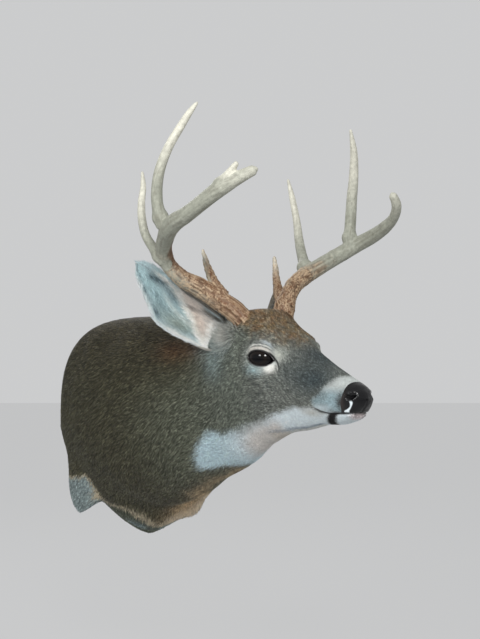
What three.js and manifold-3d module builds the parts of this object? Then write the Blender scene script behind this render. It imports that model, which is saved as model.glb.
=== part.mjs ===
// White-tailed deer shoulder mount, life size, in millimetres.
// +Z is up and the wall is the plane Y = 0: the mount stands out of it towards -Y.
// The origin is the centre of the backboard's rear face. The animal's left side is towards +X.
import * as THREE from "three";
import { mergeVertices } from "three/addons/utils/BufferGeometryUtils.js";
import Module from "manifold-3d";

const wasm = await Module();
wasm.setup();

// ---- Driving dimensions -------------------------------------------------------------------

const GAP = 0.3; // clearance between neighbouring solids
const BOARD_THICKNESS = 18;
const BOARD_INSET = 24; // from the skin's edge to the board's edge
const SKIN_SETBACK = 3; // the skin's rear edge stands this far in front of the wall

const HEAD_YAW = THREE.MathUtils.degToRad(37); // the head's turn to the animal's left
const HEAD_ORIGIN = new THREE.Vector3(260, -450, 147); // midway between the two eyes
const NAPE_X = -110; // where the head ends and the neck begins, in the head's frame
const NECK_LENGTH = 420; // from the wall to the nape, along the neck
const NOSE_X = 178; // the tip of the nose, in the head's frame
const LEAN = 0.22; // how far the trunk leans to its left as it leaves the wall

const EYE = { x: -11, y: 46.5, z: 0, radius: 18.5 };
const MOUTH = { cornerX: 88, cornerZ: -73, frontX: 158, frontZ: -81, slit: 0.6 };
const NOSE_PAD = { topX: 146, bottomX: 148, lipZ: -78 };

const EAR = {
  length: 183,
  thickness: 4.5,
  base: [-104, 58, 36],
  aheadTip: [-204, 160, 152], // the ear that is pricked forward, mirrored to the animal's right
  backTip: [-232, 158, 110], // the ear that is turned out and back
};

const HANGER = { width: 70, height: 46, thickness: 2, z: 120, slotWidth: 14, slotHeight: 26 };
const HANGER_POCKET_DEPTH = 12;

const BODY_SIDES = 36; // points round each section of the body
const ANTLER_SIDES = 9;

// ---- Small helpers ------------------------------------------------------------------------

const clamp01 = (t) => Math.min(1, Math.max(0, t));
const smooth = (a, b, x) => {
  const t = clamp01((x - a) / (b - a));
  return t * t * (3 - 2 * t);
};
const hump = (x, centre, width) => Math.exp(-(((x - centre) / width) ** 2));

// A smooth curve through (x, value) pairs, with no overshoot where the values turn.
function through(rows) {
  const xs = rows.map((r) => r[0]);
  const ys = rows.map((r) => r[1]);
  const slopes = xs.slice(1).map((x, i) => (ys[i + 1] - ys[i]) / (x - xs[i]));
  const tangents = xs.map((_, i) => {
    if (i === 0) return slopes[0];
    if (i === xs.length - 1) return slopes[i - 1];
    const [a, b] = [slopes[i - 1], slopes[i]];
    return a * b <= 0 ? 0 : (2 * a * b) / (a + b);
  });
  return (x) => {
    if (x <= xs[0]) return ys[0];
    if (x >= xs[xs.length - 1]) return ys[ys.length - 1];
    const i = xs.findIndex((_, k) => x < xs[k + 1]);
    const h = xs[i + 1] - xs[i];
    const t = (x - xs[i]) / h;
    return (
      ys[i] * (1 + 2 * t) * (1 - t) ** 2 +
      ys[i + 1] * t * t * (3 - 2 * t) +
      h * t * (1 - t) * ((1 - t) * tangents[i] - t * tangents[i + 1])
    );
  };
}

// The columns of a table, each as a smooth curve of its first column.
function curvesOf(names, rows) {
  return Object.fromEntries(
    names.map((name, k) => [name, through(rows.map((r) => [r[0], r[k + 1]]))]),
  );
}

// A closed mesh from rings of points, each ring the same length, with a flat fan at each end.
function loft(rings) {
  const n = rings[0].length;
  const middle = (ring) => {
    const sum = ring.reduce((m, p) => m.add(p), new THREE.Vector3());
    return sum.divideScalar(n);
  };
  const points = [...rings.flat(), middle(rings[0]), middle(rings[rings.length - 1])];
  const first = points.length - 2;
  const index = [];
  for (let j = 0; j < rings.length - 1; j++)
    for (let i = 0; i < n; i++) {
      const [a, b] = [j * n + i, j * n + ((i + 1) % n)];
      index.push(a, b, b + n, a, b + n, a + n);
    }
  for (let i = 0; i < n; i++) {
    const k = (i + 1) % n;
    index.push(first, k, i);
    index.push(first + 1, first - n + i, first - n + k);
  }
  return new THREE.BufferGeometry().setFromPoints(points).setIndex(index);
}

// three.js geometry to a manifold-3d solid, turned the right way out, and back.
function solid(geometry) {
  const bare = geometry.index ? geometry.clone() : geometry;
  bare.deleteAttribute("normal");
  bare.deleteAttribute("uv");
  const merged = mergeVertices(bare, 1e-3);
  const triVerts = new Uint32Array(merged.index.array);
  const vertProperties = merged.attributes.position.array;
  const make = (tris) => new wasm.Manifold(new wasm.Mesh({ numProp: 3, vertProperties, triVerts: tris }));
  const made = make(triVerts);
  return made.volume() > 0 ? made : make(triVerts.map((_, i) => triVerts[i - (i % 3) + 2 - (i % 3)]));
}

function geometryOf(made) {
  const mesh = made.getMesh();
  const geometry = new THREE.BufferGeometry();
  geometry.setAttribute("position", new THREE.BufferAttribute(mesh.vertProperties, 3));
  geometry.setIndex(new THREE.BufferAttribute(mesh.triVerts, 1));
  geometry.computeVertexNormals();
  return geometry;
}

// A cut can leave slivers beside the piece that is wanted.
const largestOf = (made) => made.decompose().sort((a, b) => b.volume() - a.volume())[0];

const group = new THREE.Group();

function add(name, made, material) {
  const mesh = new THREE.Mesh(geometryOf(made), material);
  mesh.name = name;
  group.add(mesh);
}

const finish = (color, roughness, metalness = 0) =>
  new THREE.MeshStandardMaterial({ color, roughness, metalness });

// ---- The head's frame: x towards the nose, y to the animal's left, z up --------------------

const AHEAD = new THREE.Vector3(Math.sin(HEAD_YAW), -Math.cos(HEAD_YAW), 0);
const LEFT = new THREE.Vector3(Math.cos(HEAD_YAW), Math.sin(HEAD_YAW), 0);
const HEAD_FRAME = new THREE.Matrix4()
  .makeBasis(AHEAD, LEFT, new THREE.Vector3(0, 0, 1))
  .setPosition(HEAD_ORIGIN);
const headPoint = (x, y, z) => new THREE.Vector3(x, y, z).applyMatrix4(HEAD_FRAME);

// ---- The flesh: one skin-covered form from the wall to the nose -----------------------------

const SECTION = ["top", "bottom", "halfWidth", "middle", "topRound", "bottomRound"];

// Trunk and neck sections, by the distance from the wall: heights in the part's frame.
// The last two columns are the roundness of the upper and lower half: 2 is an ellipse.
const TRUNK_ROWS = [
  [0, 214, -221, 181, 0, 3.0, 1.45],
  [18, 215, -213, 182, 2, 2.95, 1.48],
  [45, 216, -203, 180, 6, 2.9, 1.54],
  [75, 217, -190, 175, 10, 2.8, 1.56],
  [110, 217, -160, 167, 16, 2.7, 1.7],
  [140, 217, -144, 157, 24, 2.6, 1.85],
  [170, 216, -136, 146, 32, 2.5, 1.96],
  [250, 214, -107, 119, 55, 2.3, 2.0],
  [330, 210, -73, 97, 80, 2.2, 2.0],
  [NECK_LENGTH - 35, 208, -51, 84, 97, 2.2, 1.95],
];

// Head sections, by x in the head's frame: heights in that frame.
const HEAD_ROWS = [
  [NAPE_X, 62, -181, 78, -38, 2.25, 1.9],
  [-92, 70, -169, 73, -27, 2.3, 1.85],
  [-76, 78, -158.5, 69, -17, 2.4, 1.8],
  [-60, 79, -148, 65, -8, 2.5, 1.75],
  [-42, 70, -139.5, 63, -2, 2.6, 1.7],
  [-24, 57, -131, 61.5, 1, 2.7, 1.7],
  [-8, 48, -124, 58, 0, 2.7, 1.7],
  [8, 39, -118.5, 52, -6, 2.5, 1.7],
  [24, 30, -115.5, 47, -16, 2.4, 1.7],
  [42, 20, -112.5, 42, -30, 2.2, 1.8],
  [65, 9, -107, 37, -44, 2.1, 1.9],
  [96, -6, -99.5, 32, -54, 2.1, 2.0],
  [125, -19, -97, 28, -59, 2.2, 2.1],
  [145, -28, -92, 25.5, -60, 2.3, 2.2],
  [155, -33, -87, 24, -59, 2.3, 2.3],
  [161, -36, -79, 22.5, -57, 2.2, 2.3],
  [168, -41, -72, 19, -56, 2.1, 2.2],
  [174, -46, -67, 12, -56, 2.0, 2.0],
  [NOSE_X, -53, -60, 3, -56, 2.0, 2.0],
];

// One table for the whole form, by the distance s along it from the wall to the nose.
const along = (x) => x - NAPE_X + NECK_LENGTH;
const raised = ([x, top, bottom, halfWidth, middle, ...rounds]) => {
  const z = HEAD_ORIGIN.z;
  return [along(x), top + z, bottom + z, halfWidth, middle + z, ...rounds];
};
const FORM = curvesOf(SECTION, [...TRUNK_ROWS, ...HEAD_ROWS.map(raised)]);

// Flesh that stands proud of the plain sections: [x, y, z, reach, height] in the head's frame.
const FACE_FORMS = [
  [-5, 56, 22, 15, 6], // brow over the eye
  [-14, 56, -24, 18, 4], // cheekbone under the eye
  [-5, 56, -1, 15, -9], // the eye's own hollow
  [-45, 50, -70, 38, 5], // jaw muscle
  [112, 30, -64, 20, 2.5], // upper lip
  [154, 22, -56, 11, 3], // wing of the nostril
  [24, 44, -8, 13, -2], // hollow in front of the eye
  [-68, 44, 62, 22, 8], // pedicle, under the antler
  [-42, 54, 34, 18, -2], // temple
  [16, 42, 17, 10, 5], // the brow's front end
];

function facePush(x, y, z) {
  return FACE_FORMS.reduce((sum, [fx, fy, fz, reach, height]) => {
    const distance = Math.hypot(x - fx, Math.abs(y) - fy, z - fz);
    return sum + height * hump(distance, 0, reach);
  }, 0);
}

// Where the front legs are cut off, a lobe of skin hangs at each side of the trunk's rear edge.
// The animal's weight hangs to its right, so the right lobe is the long one. In front of the
// left leg the brisket ends in a low corner.
const LEG_LOBE = { angle: 2.46, above: 0.37, below: 0.07, right: 52, left: 4, depth: 60 };
const BRISKET_CORNER = { angle: 2.74, width: 0.12, height: 11, s: 74, length: 24 };
const lobe = (s, angle) => {
  const turn = Math.atan2(Math.sin(angle), Math.cos(angle));
  const a = Math.abs(turn) - LEG_LOBE.angle;
  const side = a < 0 ? LEG_LOBE.above : LEG_LOBE.below;
  const height = turn < 0 ? LEG_LOBE.right : LEG_LOBE.left;
  const { height: corner, length, width } = BRISKET_CORNER;
  const brisket = corner * hump(turn, BRISKET_CORNER.angle, width) * hump(s, BRISKET_CORNER.s, length);
  return height * hump(a, 0, side) * (1 - smooth(0, LEG_LOBE.depth, s)) + brisket;
};

// The neck's centre line in plan: a cubic from the wall to the nape.
const NAPE = headPoint(NAPE_X, 0, 0);
const PLAN = new THREE.CubicBezierCurve(
  new THREE.Vector2(0, 0),
  new THREE.Vector2((LEAN * NECK_LENGTH) / 3, -NECK_LENGTH / 3),
  new THREE.Vector2(NAPE.x, NAPE.y).addScaledVector(new THREE.Vector2(AHEAD.x, AHEAD.y), -NECK_LENGTH / 3),
  new THREE.Vector2(NAPE.x, NAPE.y),
);

// A section's radius at an angle from the top: a rounded box round its widest height.
function radius(s, angle) {
  const lateral = Math.abs(Math.sin(angle)) / FORM.halfWidth(s);
  const up = Math.cos(angle) >= 0;
  const reach = up ? FORM.top(s) - FORM.middle(s) : FORM.middle(s) - FORM.bottom(s);
  const power = up ? FORM.topRound(s) : FORM.bottomRound(s);
  return (lateral ** power + (Math.abs(Math.cos(angle)) / reach) ** power) ** (-1 / power);
}

// A point of the skin, s along the form from the wall and angle round it from the top.
function skinPoint(s, angle) {
  const [across, upward] = [Math.sin(angle), Math.cos(angle)];
  const r = radius(s, angle) + lobe(s, angle);
  const z = FORM.middle(s) + r * upward;
  const blend = smooth(0.72 * NECK_LENGTH, NECK_LENGTH, s); // the face's forms fade in
  const x = s - NECK_LENGTH + NAPE_X;
  const reach = r + blend * facePush(x, r * across, z - HEAD_ORIGIN.z);
  const height = FORM.middle(s) + reach * upward;
  if (s > NECK_LENGTH) return headPoint(x, reach * across, height - HEAD_ORIGIN.z);
  const centre = PLAN.getPoint(s / NECK_LENGTH);
  const yaw = HEAD_YAW * smooth(0, 1, s / NECK_LENGTH);
  return new THREE.Vector3(
    centre.x + reach * across * Math.cos(yaw),
    centre.y + reach * across * Math.sin(yaw) - (s === 0 ? SKIN_SETBACK : 0),
    height,
  );
}

const bodyStations = [
  ...[0, 14, 28, 45, 65, 90, 120, 155, 190, 230, 270, 310, 345, 380],
  ...[-110, -92, -76, -62, -48, -34, -22, -10, 2, 14, 28, 44, 62, 82, 104, 124, 140].map(along),
  ...[149, 155, 160, 165, 170, 174, NOSE_X].map(along),
];

// Angles round a section, closer together where the right leg's lobe hangs.
const bodyAngles = [
  ...Array.from({ length: BODY_SIDES }, (_, i) => (2 * Math.PI * (i + 0.5)) / BODY_SIDES),
  ...[0.1, 0.01, -0.07, -0.15].map((a) => 2 * Math.PI - LEG_LOBE.angle - a),
].sort((a, b) => a - b);

const body = solid(loft(bodyStations.map((s) => bodyAngles.map((angle) => skinPoint(s, angle)))));

// ---- Antlers ------------------------------------------------------------------------------

// A round tapering sweep through points of the head's frame, each with its radius.
// from and to are shares of its length. grow widens it all over, so that the same sweep
// cuts its own clearance in a neighbour.
function sweep(rows, { from = 0, to = 1, grow = 0, steps = 8 } = {}) {
  const curve = new THREE.CatmullRomCurve3(rows.map(([x, y, z]) => headPoint(x, y, z)));
  const radii = through(rows.map((row, i) => [i / (rows.length - 1), row[3]]));
  const rings = [];
  let side = new THREE.Vector3(1, 0, 0);
  for (let j = 0; j <= steps; j++) {
    const t = curve.getUtoTmapping(from + ((to - from) * j) / steps);
    const tangent = curve.getTangent(t);
    const across = new THREE.Vector3().crossVectors(tangent, side).normalize();
    side = new THREE.Vector3().crossVectors(across, tangent).normalize();
    const centre = curve.getPoint(t);
    if (j === 0) centre.addScaledVector(tangent, -grow);
    if (j === steps) centre.addScaledVector(tangent, grow);
    const r = radii(t) + grow;
    rings.push(
      Array.from({ length: ANTLER_SIDES }, (_, i) => {
        const a = (2 * Math.PI * i) / ANTLER_SIDES;
        return centre
          .clone()
          .addScaledVector(side, r * Math.cos(a))
          .addScaledVector(across, r * Math.sin(a));
      }),
    );
  }
  return solid(loft(rings));
}

// Each row is [x, y, z, radius] in the head's frame, y outwards from the animal's midline.
// forks are where the beam is parted, as shares of its length.
const ANTLERS = {
  right: {
    side: -1,
    beam: [
      [-64, 38, 54, 15],
      [-79, 53.5, 75, 16.4],
      [-95, 73.5, 92.8, 16],
      [-113, 100, 113.2, 15],
      [-126, 124.6, 128, 13.2],
      [-133, 146, 151, 12.3],
      [-119, 163, 174, 12.8],
      [-94, 176, 188, 13.2],
      [-61, 191, 200, 14],
      [-33, 197, 209, 13.2],
      [-3, 198, 217, 12],
      [32, 195, 232, 11.5],
      [64, 185, 251, 12],
      [88, 170, 265, 9.5],
      [107, 150, 278, 7],
    ],
    forks: [0.42, 0.56],
    brow: [
      [-94, 67, 98, 13],
      [-103, 72, 112, 10],
      [-112, 74, 128, 7.2],
      [-120, 76, 144, 5.6],
      [-127, 77, 160, 3.8],
      [-134, 78, 176, 2],
    ],
    second: [
      [-130, 154, 151, 9],
      [-146, 163, 173, 7.8],
      [-160, 171, 197, 7],
      [-168, 173, 224, 6.6],
      [-174, 170, 251, 5.8],
      [-180, 163, 277, 4.7],
      [-188, 160, 304, 2],
    ],
    third: [
      [-69, 197, 202, 9.5],
      [-69, 208, 242, 8.8],
      [-62, 209, 283, 8],
      [-51, 199, 322, 6.9],
      [-38, 183, 357, 6],
      [-29, 175, 375, 4.8],
      [-20, 166, 391, 2],
    ],
    kicker: [
      [50, 188, 248, 7.5],
      [67, 183, 262, 6.4],
      [80, 177, 276, 5.2],
      [89, 173, 287, 3.4],
    ],
  },
  left: {
    side: 1,
    beam: [
      [-66, 38, 56, 14],
      [-74, 47, 80, 17],
      [-78, 60, 102, 13.2],
      [-84, 78, 120, 13.5],
      [-86, 105, 137, 14.5],
      [-83, 133, 152, 13.8],
      [-80, 168, 170, 13.6],
      [-63, 197, 189, 12.8],
      [-28, 205, 204, 11.8],
      [9, 199, 217, 10.3],
      [38, 190, 231, 8.2],
      [60, 174, 249, 7.8],
      [66, 157, 267, 6],
    ],
    forks: [0.4, 0.54],
    brow: [
      [-96, 62, 90, 12],
      [-111, 67, 102, 9.8],
      [-123, 72, 116, 7.4],
      [-132, 76, 132, 5.6],
      [-138, 79, 151, 4.4],
      [-140, 78, 170, 2],
    ],
    second: [
      [-93, 111, 142, 11],
      [-123, 128, 167, 9],
      [-149, 142, 198, 8],
      [-167, 151, 236, 6.5],
      [-182, 154, 276, 5.4],
      [-198, 156, 316, 2],
    ],
    third: [
      [-70, 188, 188, 9.5],
      [-76, 197, 229, 9.6],
      [-80, 204, 271, 9.1],
      [-75, 204, 313, 8],
      [-62, 192, 351, 6.2],
      [-50, 173, 388, 2],
    ],
  },
};

function buildAntler(name, { side, beam, forks, brow, second, third, kicker }) {
  const toSide = (rows) => rows.map(([x, y, z, r]) => [x, side * y, z, r]);
  const main = toSide(beam);
  const beamPart = (from, to, steps, grow = 0) => sweep(main, { from, to, steps, grow });
  const cut = 0.0004; // half a gap, as a share of the beam's length
  const lengths = {
    base: [0, forks[0] - cut, 14],
    middle: [forks[0] + cut, forks[1] - cut, 5],
    tip: [forks[1] + cut, 1, 10],
  };
  const parts = {};
  for (const [piece, length] of Object.entries(lengths)) parts[piece] = beamPart(...length);
  const wide = Object.values(lengths)
    .map((length) => beamPart(...length, 1.5 * GAP))
    .reduce((all, length) => all.add(length));
  parts.brow_tine = sweep(toSide(brow), { steps: 6 }).subtract(wide);
  parts.second_tine = sweep(toSide(second), { steps: 8 }).subtract(wide);
  parts.third_tine = sweep(toSide(third), { steps: 9 }).subtract(wide);
  if (kicker) parts.tip = parts.tip.add(sweep(toSide(kicker), { steps: 5 }));
  for (const [piece, made] of Object.entries(parts)) {
    add(`antler_${name}_${piece}`, largestOf(made), antlerBone);
  }
  return beamPart(0, forks[0], 14, GAP);
}

const antlerBone = finish(0xb9a98c, 0.6);
const antlerSockets = Object.entries(ANTLERS).map(([name, antler]) => buildAntler(name, antler));

// ---- Ears ---------------------------------------------------------------------------------

// How wide each ear stands either side of its axis, by the share of its length from the base.
const OUTER_EDGE = through([
  [0, 28],
  [0.07, 36],
  [0.15, 43],
  [0.35, 56],
  [0.52, 58],
  [0.7, 42],
  [0.85, 24],
  [0.95, 9],
  [1, 2],
]);
const INNER_EDGE = through([
  [0, 18],
  [0.1, 22],
  [0.3, 23],
  [0.45, 20],
  [0.65, 18],
  [0.85, 11],
  [0.95, 5],
  [1, 2],
]);
// How far each section is rolled: close to a tube at the base, almost flat at the tip.
const EAR_WRAP = through([
  [0, 2.1],
  [0.15, 1.6],
  [0.35, 1.15],
  [0.7, 0.85],
  [1, 0.5],
]);

// A cupped leaf: a runs from base to tip and b from edge to edge, each section an arc.
function earSolid(side, tip, opening) {
  const base = new THREE.Vector3(EAR.base[0], side * EAR.base[1], EAR.base[2]);
  const end = new THREE.Vector3(tip[0], side * tip[1], tip[2]);
  const axis = end.clone().sub(base).normalize();
  const inward = new THREE.Vector3(...opening);
  inward.addScaledVector(axis, -inward.dot(axis)).normalize();
  const outward = new THREE.Vector3().crossVectors(axis, inward).multiplyScalar(side);
  const shell = (a, b, offset) => {
    const halfWidth = (OUTER_EDGE(a) + INNER_EDGE(a)) / 2;
    const shift = (OUTER_EDGE(a) - INNER_EDGE(a)) / 2;
    const wrap = EAR_WRAP(a);
    const r = halfWidth / Math.sin(Math.min(wrap, Math.PI / 2));
    const depth = r * (Math.cos(wrap * b) - Math.cos(wrap)) * 0.75;
    const p = base
      .clone()
      .addScaledVector(axis, EAR.length * a)
      .addScaledVector(outward, shift + (r + offset) * Math.sin(wrap * b))
      .addScaledVector(inward, -depth - offset * Math.cos(wrap * b) - 4 * Math.sin(Math.PI * a));
    return p.applyMatrix4(HEAD_FRAME);
  };
  const [rows, columns] = [12, 8];
  const rings = [];
  for (let j = 0; j <= rows; j++) {
    const a = j / rows;
    const row = (from, step, offset) =>
      Array.from({ length: columns + 1 }, (_, i) => shell(a, from + (step * i) / columns, offset));
    rings.push([...row(-1, 2, EAR.thickness / 2), ...row(1, -2, -EAR.thickness / 2)]);
  }
  return solid(loft(rings));
}

// ---- Cuts that part the flesh into its named pieces -----------------------------------------

// Everything in front of the upright plane that cuts the form at s.
function beyond(s, gap) {
  const share = s / NECK_LENGTH;
  const centre = PLAN.getPoint(Math.min(share, 1));
  const yaw = HEAD_YAW * smooth(0, 1, share);
  const box = new THREE.BoxGeometry(2000, 2000, 2000);
  box.translate(0, -1000 - gap, 0).rotateZ(yaw).translate(centre.x, centre.y, 0);
  return solid(box);
}

// A prism across the head from a side-view outline of [x, z] corners.
function headPrism(corners, halfWidth) {
  const shape = new THREE.Shape(corners.map(([x, z]) => new THREE.Vector2(x, z)));
  const prism = new THREE.ExtrudeGeometry(shape, { depth: 2 * halfWidth, bevelEnabled: false });
  prism.translate(0, 0, -halfWidth).rotateX(Math.PI / 2).applyMatrix4(HEAD_FRAME);
  return solid(prism);
}

const mouthHeight = (x) =>
  MOUTH.cornerZ + ((MOUTH.frontZ - MOUTH.cornerZ) * (x - MOUTH.cornerX)) / (MOUTH.frontX - MOUTH.cornerX);

// The lower jaw's outline in side view, and the same outline grown by the slit of the mouth.
const jawOutline = (slit) => [
  [MOUTH.cornerX - slit, mouthHeight(MOUTH.cornerX) + slit],
  [240, mouthHeight(240) + slit],
  [240, -200],
  [MOUTH.cornerX - slit, -200],
];

// The nose pad's outline in side view.
const noseOutline = (gap) => [
  [NOSE_PAD.topX - gap, 0],
  [NOSE_PAD.bottomX - gap, NOSE_PAD.lipZ],
  [NOSE_PAD.bottomX - gap, -140],
  [240, -140],
  [240, 0],
];

const fur = finish(0x6e6353, 0.9);
const paleFur = finish(0xd8d4ca, 0.9);
const wetBlack = finish(0x141312, 0.25);
const eyeGlass = finish(0x120c08, 0.05);
const boardWood = finish(0xb08d5f, 0.75);
const steel = finish(0x9a9c9e, 0.4, 1);

const TRUNK_END = 165; // where the trunk meets the neck
const HEAD_START = 395; // where the neck meets the head

function eyeBall(side, grow) {
  const ball = new THREE.SphereGeometry(EYE.radius + grow, 14, 10);
  ball.rotateX(Math.PI / 2).translate(EYE.x, side * EYE.y, EYE.z).applyMatrix4(HEAD_FRAME);
  return solid(ball);
}

const FORWARD_EAR = [-1, EAR.aheadTip, [0.78, -0.62, 0]];
const BACK_EAR = [1, EAR.backTip, [0.6, 0.8, 0]];

function buildHead() {
  let head = body.intersect(beyond(HEAD_START, GAP / 2));
  for (const socket of antlerSockets) head = head.subtract(socket);
  for (const side of [-1, 1]) head = head.subtract(eyeBall(side, GAP));
  const jawBlock = headPrism(jawOutline(0), 100);
  const noseBlock = headPrism(noseOutline(0), 100);
  const jaw = head.intersect(jawBlock);
  const upper = head.subtract(headPrism(jawOutline(MOUTH.slit), 100));
  add("lower_jaw", largestOf(jaw), paleFur);
  add("nose", largestOf(upper.intersect(noseBlock)), wetBlack);
  const skull = largestOf(upper.subtract(headPrism(noseOutline(GAP), 100)));
  add("head", skull, fur);
  for (const [name, ear] of [["right", FORWARD_EAR], ["left", BACK_EAR]]) {
    let made = earSolid(...ear).subtract(body.add(wideSkull));
    for (const socket of antlerSockets) made = made.subtract(socket);
    add(`ear_${name}`, largestOf(made), fur);
  }
}

// The back of the head made 1 mm fuller, to cut the ears clear of it.
const wideSkull = (() => {
  const rings = [330, 360, 390, 420, 445, 470, 500, 530].map((s) =>
    bodyAngles.map((angle) => {
      const p = skinPoint(s, angle);
      const middle = skinPoint(s, angle + Math.PI).add(p).multiplyScalar(0.5);
      return p.add(p.clone().sub(middle).normalize().multiplyScalar(1));
    }),
  );
  return solid(loft(rings));
})();

function buildTrunkAndNeck(boardRecess) {
  const neck = body.subtract(beyond(HEAD_START, -GAP / 2)).intersect(beyond(TRUNK_END, GAP / 2));
  add("neck", neck, fur);
  let trunk = body.subtract(beyond(TRUNK_END, -GAP / 2)).subtract(boardRecess);
  for (const [name, side] of [["right", -1], ["left", 1]]) {
    const block = (gap) => {
      const box = new THREE.BoxGeometry(140, 95 + gap * 2, 150);
      box.translate(side * (165 - gap), 0, -165 + gap);
      return solid(box);
    };
    add(`foreleg_${name}`, largestOf(trunk.intersect(block(0))), paleFur);
    trunk = trunk.subtract(block(GAP));
  }
  add("trunk", largestOf(trunk), fur);
}

// ---- Backboard and hanger -------------------------------------------------------------------

// The board follows the skin's rear edge, set in from it, with no lobes.
function boardShape(inset) {
  const points = Array.from({ length: 48 }, (_, i) => {
    const angle = (2 * Math.PI * i) / 48;
    const r = Math.min(radius(0, angle), 205) - inset;
    return new THREE.Vector2(r * Math.sin(angle), FORM.middle(0) + r * Math.cos(angle));
  });
  return new THREE.Shape(points);
}

// A plate in the XZ plane from a shape, between two distances in front of the wall.
function plate(shape, near, far) {
  const made = new THREE.ExtrudeGeometry(shape, { depth: far - near, bevelEnabled: false });
  return solid(made.rotateX(Math.PI / 2).translate(0, -near, 0));
}

function rectangle(width, height, z) {
  const [w, low, high] = [width / 2, z - height / 2, z + height / 2];
  const corners = [[-w, low], [w, low], [w, high], [-w, high]];
  return new THREE.Shape(corners.map(([x, y]) => new THREE.Vector2(x, y)));
}

function buildBoard() {
  const { width, height, thickness, z, slotWidth, slotHeight } = HANGER;
  const pocket = plate(rectangle(slotWidth + 12, slotHeight + 8, z), -1, HANGER_POCKET_DEPTH);
  const seat = plate(rectangle(width + 2 * GAP, height + 2 * GAP, z), -1, thickness + GAP);
  const board = plate(boardShape(BOARD_INSET), 0, BOARD_THICKNESS).subtract(pocket).subtract(seat);
  add("backboard", board, boardWood);
  const slot = plate(rectangle(slotWidth, slotHeight, z), -1, thickness + 1);
  add("hanger", plate(rectangle(width, height, z), 0, thickness).subtract(slot), steel);
}

buildTrunkAndNeck(plate(boardShape(BOARD_INSET - GAP), -10, BOARD_THICKNESS + GAP));
buildHead();
for (const [name, side] of [["right", -1], ["left", 1]]) add(`eye_${name}`, eyeBall(side, 0), eyeGlass);
buildBoard();

export default group;
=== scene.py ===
# %% [markdown]
# # A deer shoulder mount, from the skin out
#
# The real thing is a tanned hide drawn over a rigid form, with glass eyes, the animal's own
# antlers and a plywood board that hangs it on a wall. The CAD model already gives the size and
# the outline. This lesson dresses it: one smooth skin, then many thousand small tufts of hair
# that lie along it, and the eyes, the nose, the ears and the antlers.
#
# The wall is the plane Y = 0 and the mount stands out of it towards -Y. The animal's left side
# is towards +X. An animal is measured in millimetres, so the shapes are worked out in
# millimetres and made metres as they become meshes.

import bpy
import numpy as np
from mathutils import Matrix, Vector


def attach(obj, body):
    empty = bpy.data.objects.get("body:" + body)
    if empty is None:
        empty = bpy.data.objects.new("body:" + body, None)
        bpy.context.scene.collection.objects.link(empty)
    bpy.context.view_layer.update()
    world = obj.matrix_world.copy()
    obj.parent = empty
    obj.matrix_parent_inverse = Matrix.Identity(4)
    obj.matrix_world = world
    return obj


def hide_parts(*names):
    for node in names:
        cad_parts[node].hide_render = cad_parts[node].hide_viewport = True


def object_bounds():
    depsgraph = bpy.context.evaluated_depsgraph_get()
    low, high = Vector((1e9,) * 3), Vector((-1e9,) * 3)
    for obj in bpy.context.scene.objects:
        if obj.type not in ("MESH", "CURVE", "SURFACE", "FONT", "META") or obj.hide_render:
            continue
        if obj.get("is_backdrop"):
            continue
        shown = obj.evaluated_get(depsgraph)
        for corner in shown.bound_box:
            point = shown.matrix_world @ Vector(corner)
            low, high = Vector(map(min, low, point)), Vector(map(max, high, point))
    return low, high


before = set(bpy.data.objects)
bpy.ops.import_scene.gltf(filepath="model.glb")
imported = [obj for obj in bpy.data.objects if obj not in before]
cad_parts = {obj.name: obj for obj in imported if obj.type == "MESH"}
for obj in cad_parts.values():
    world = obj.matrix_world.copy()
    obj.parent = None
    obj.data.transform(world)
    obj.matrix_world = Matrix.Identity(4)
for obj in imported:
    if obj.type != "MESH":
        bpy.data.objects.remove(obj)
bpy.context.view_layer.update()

# %% [markdown]
# ## The camera
#
# A mount on a wall is seen from a little over two metres away and from its own height, so the
# camera looks level, straight at the wall. A longish lens keeps the nose from looking too big.

# %% The camera
camera_data = bpy.data.cameras.new("camera")
camera_data.sensor_width = 36
camera_data.lens = 63.9
camera = bpy.data.objects.new("camera", camera_data)
camera.location = (0.179, -2.25, 0.208)
camera.rotation_euler = (np.pi / 2, 0, 0)
bpy.context.collection.objects.link(camera)
bpy.context.scene.camera = camera
print("camera at", tuple(camera.location))

# %% [markdown]
# ## Curves, bumps and noise
#
# Every shape below is a function of two parameters. A few small helpers carry the numbers:
# a smooth step, a bell, a curve through chosen pairs, and a soft random field that is the same
# on every run because its table comes from a fixed seed.

# %% Small helpers
MM = 0.001


def smooth(low, high, x):
    """0 up to low and 1 from high on. Between them t * t * (3 - 2 * t)."""
    t = np.clip((x - low) / (high - low), 0, 1)
    return t * t * (3 - 2 * t)


def bell(x, width):
    """exp of minus (x / width) squared."""
    return np.exp(-((x / width) ** 2))


def unit(v):
    """Each vector divided by its own length."""
    return v / np.maximum(np.linalg.norm(v, axis=-1, keepdims=True), 1e-9)


def mix(a, b, share):
    """a where share is 0 and b where it is 1."""
    return a + (b - a) * share


def turn_of(angle):
    """An angle from the top as it is from minus pi to pi: above 0 on the animal's left."""
    return np.arctan2(np.sin(angle), np.cos(angle))


def from_below(angle):
    """How many degrees an angle from the top is from the bottom, on either side."""
    return np.degrees(np.pi - np.abs(turn_of(angle)))


def once_round(count):
    """Even steps of a whole turn, without the last, which is the first again."""
    return np.linspace(0, 2 * np.pi, count + 1)[:-1]


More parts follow.
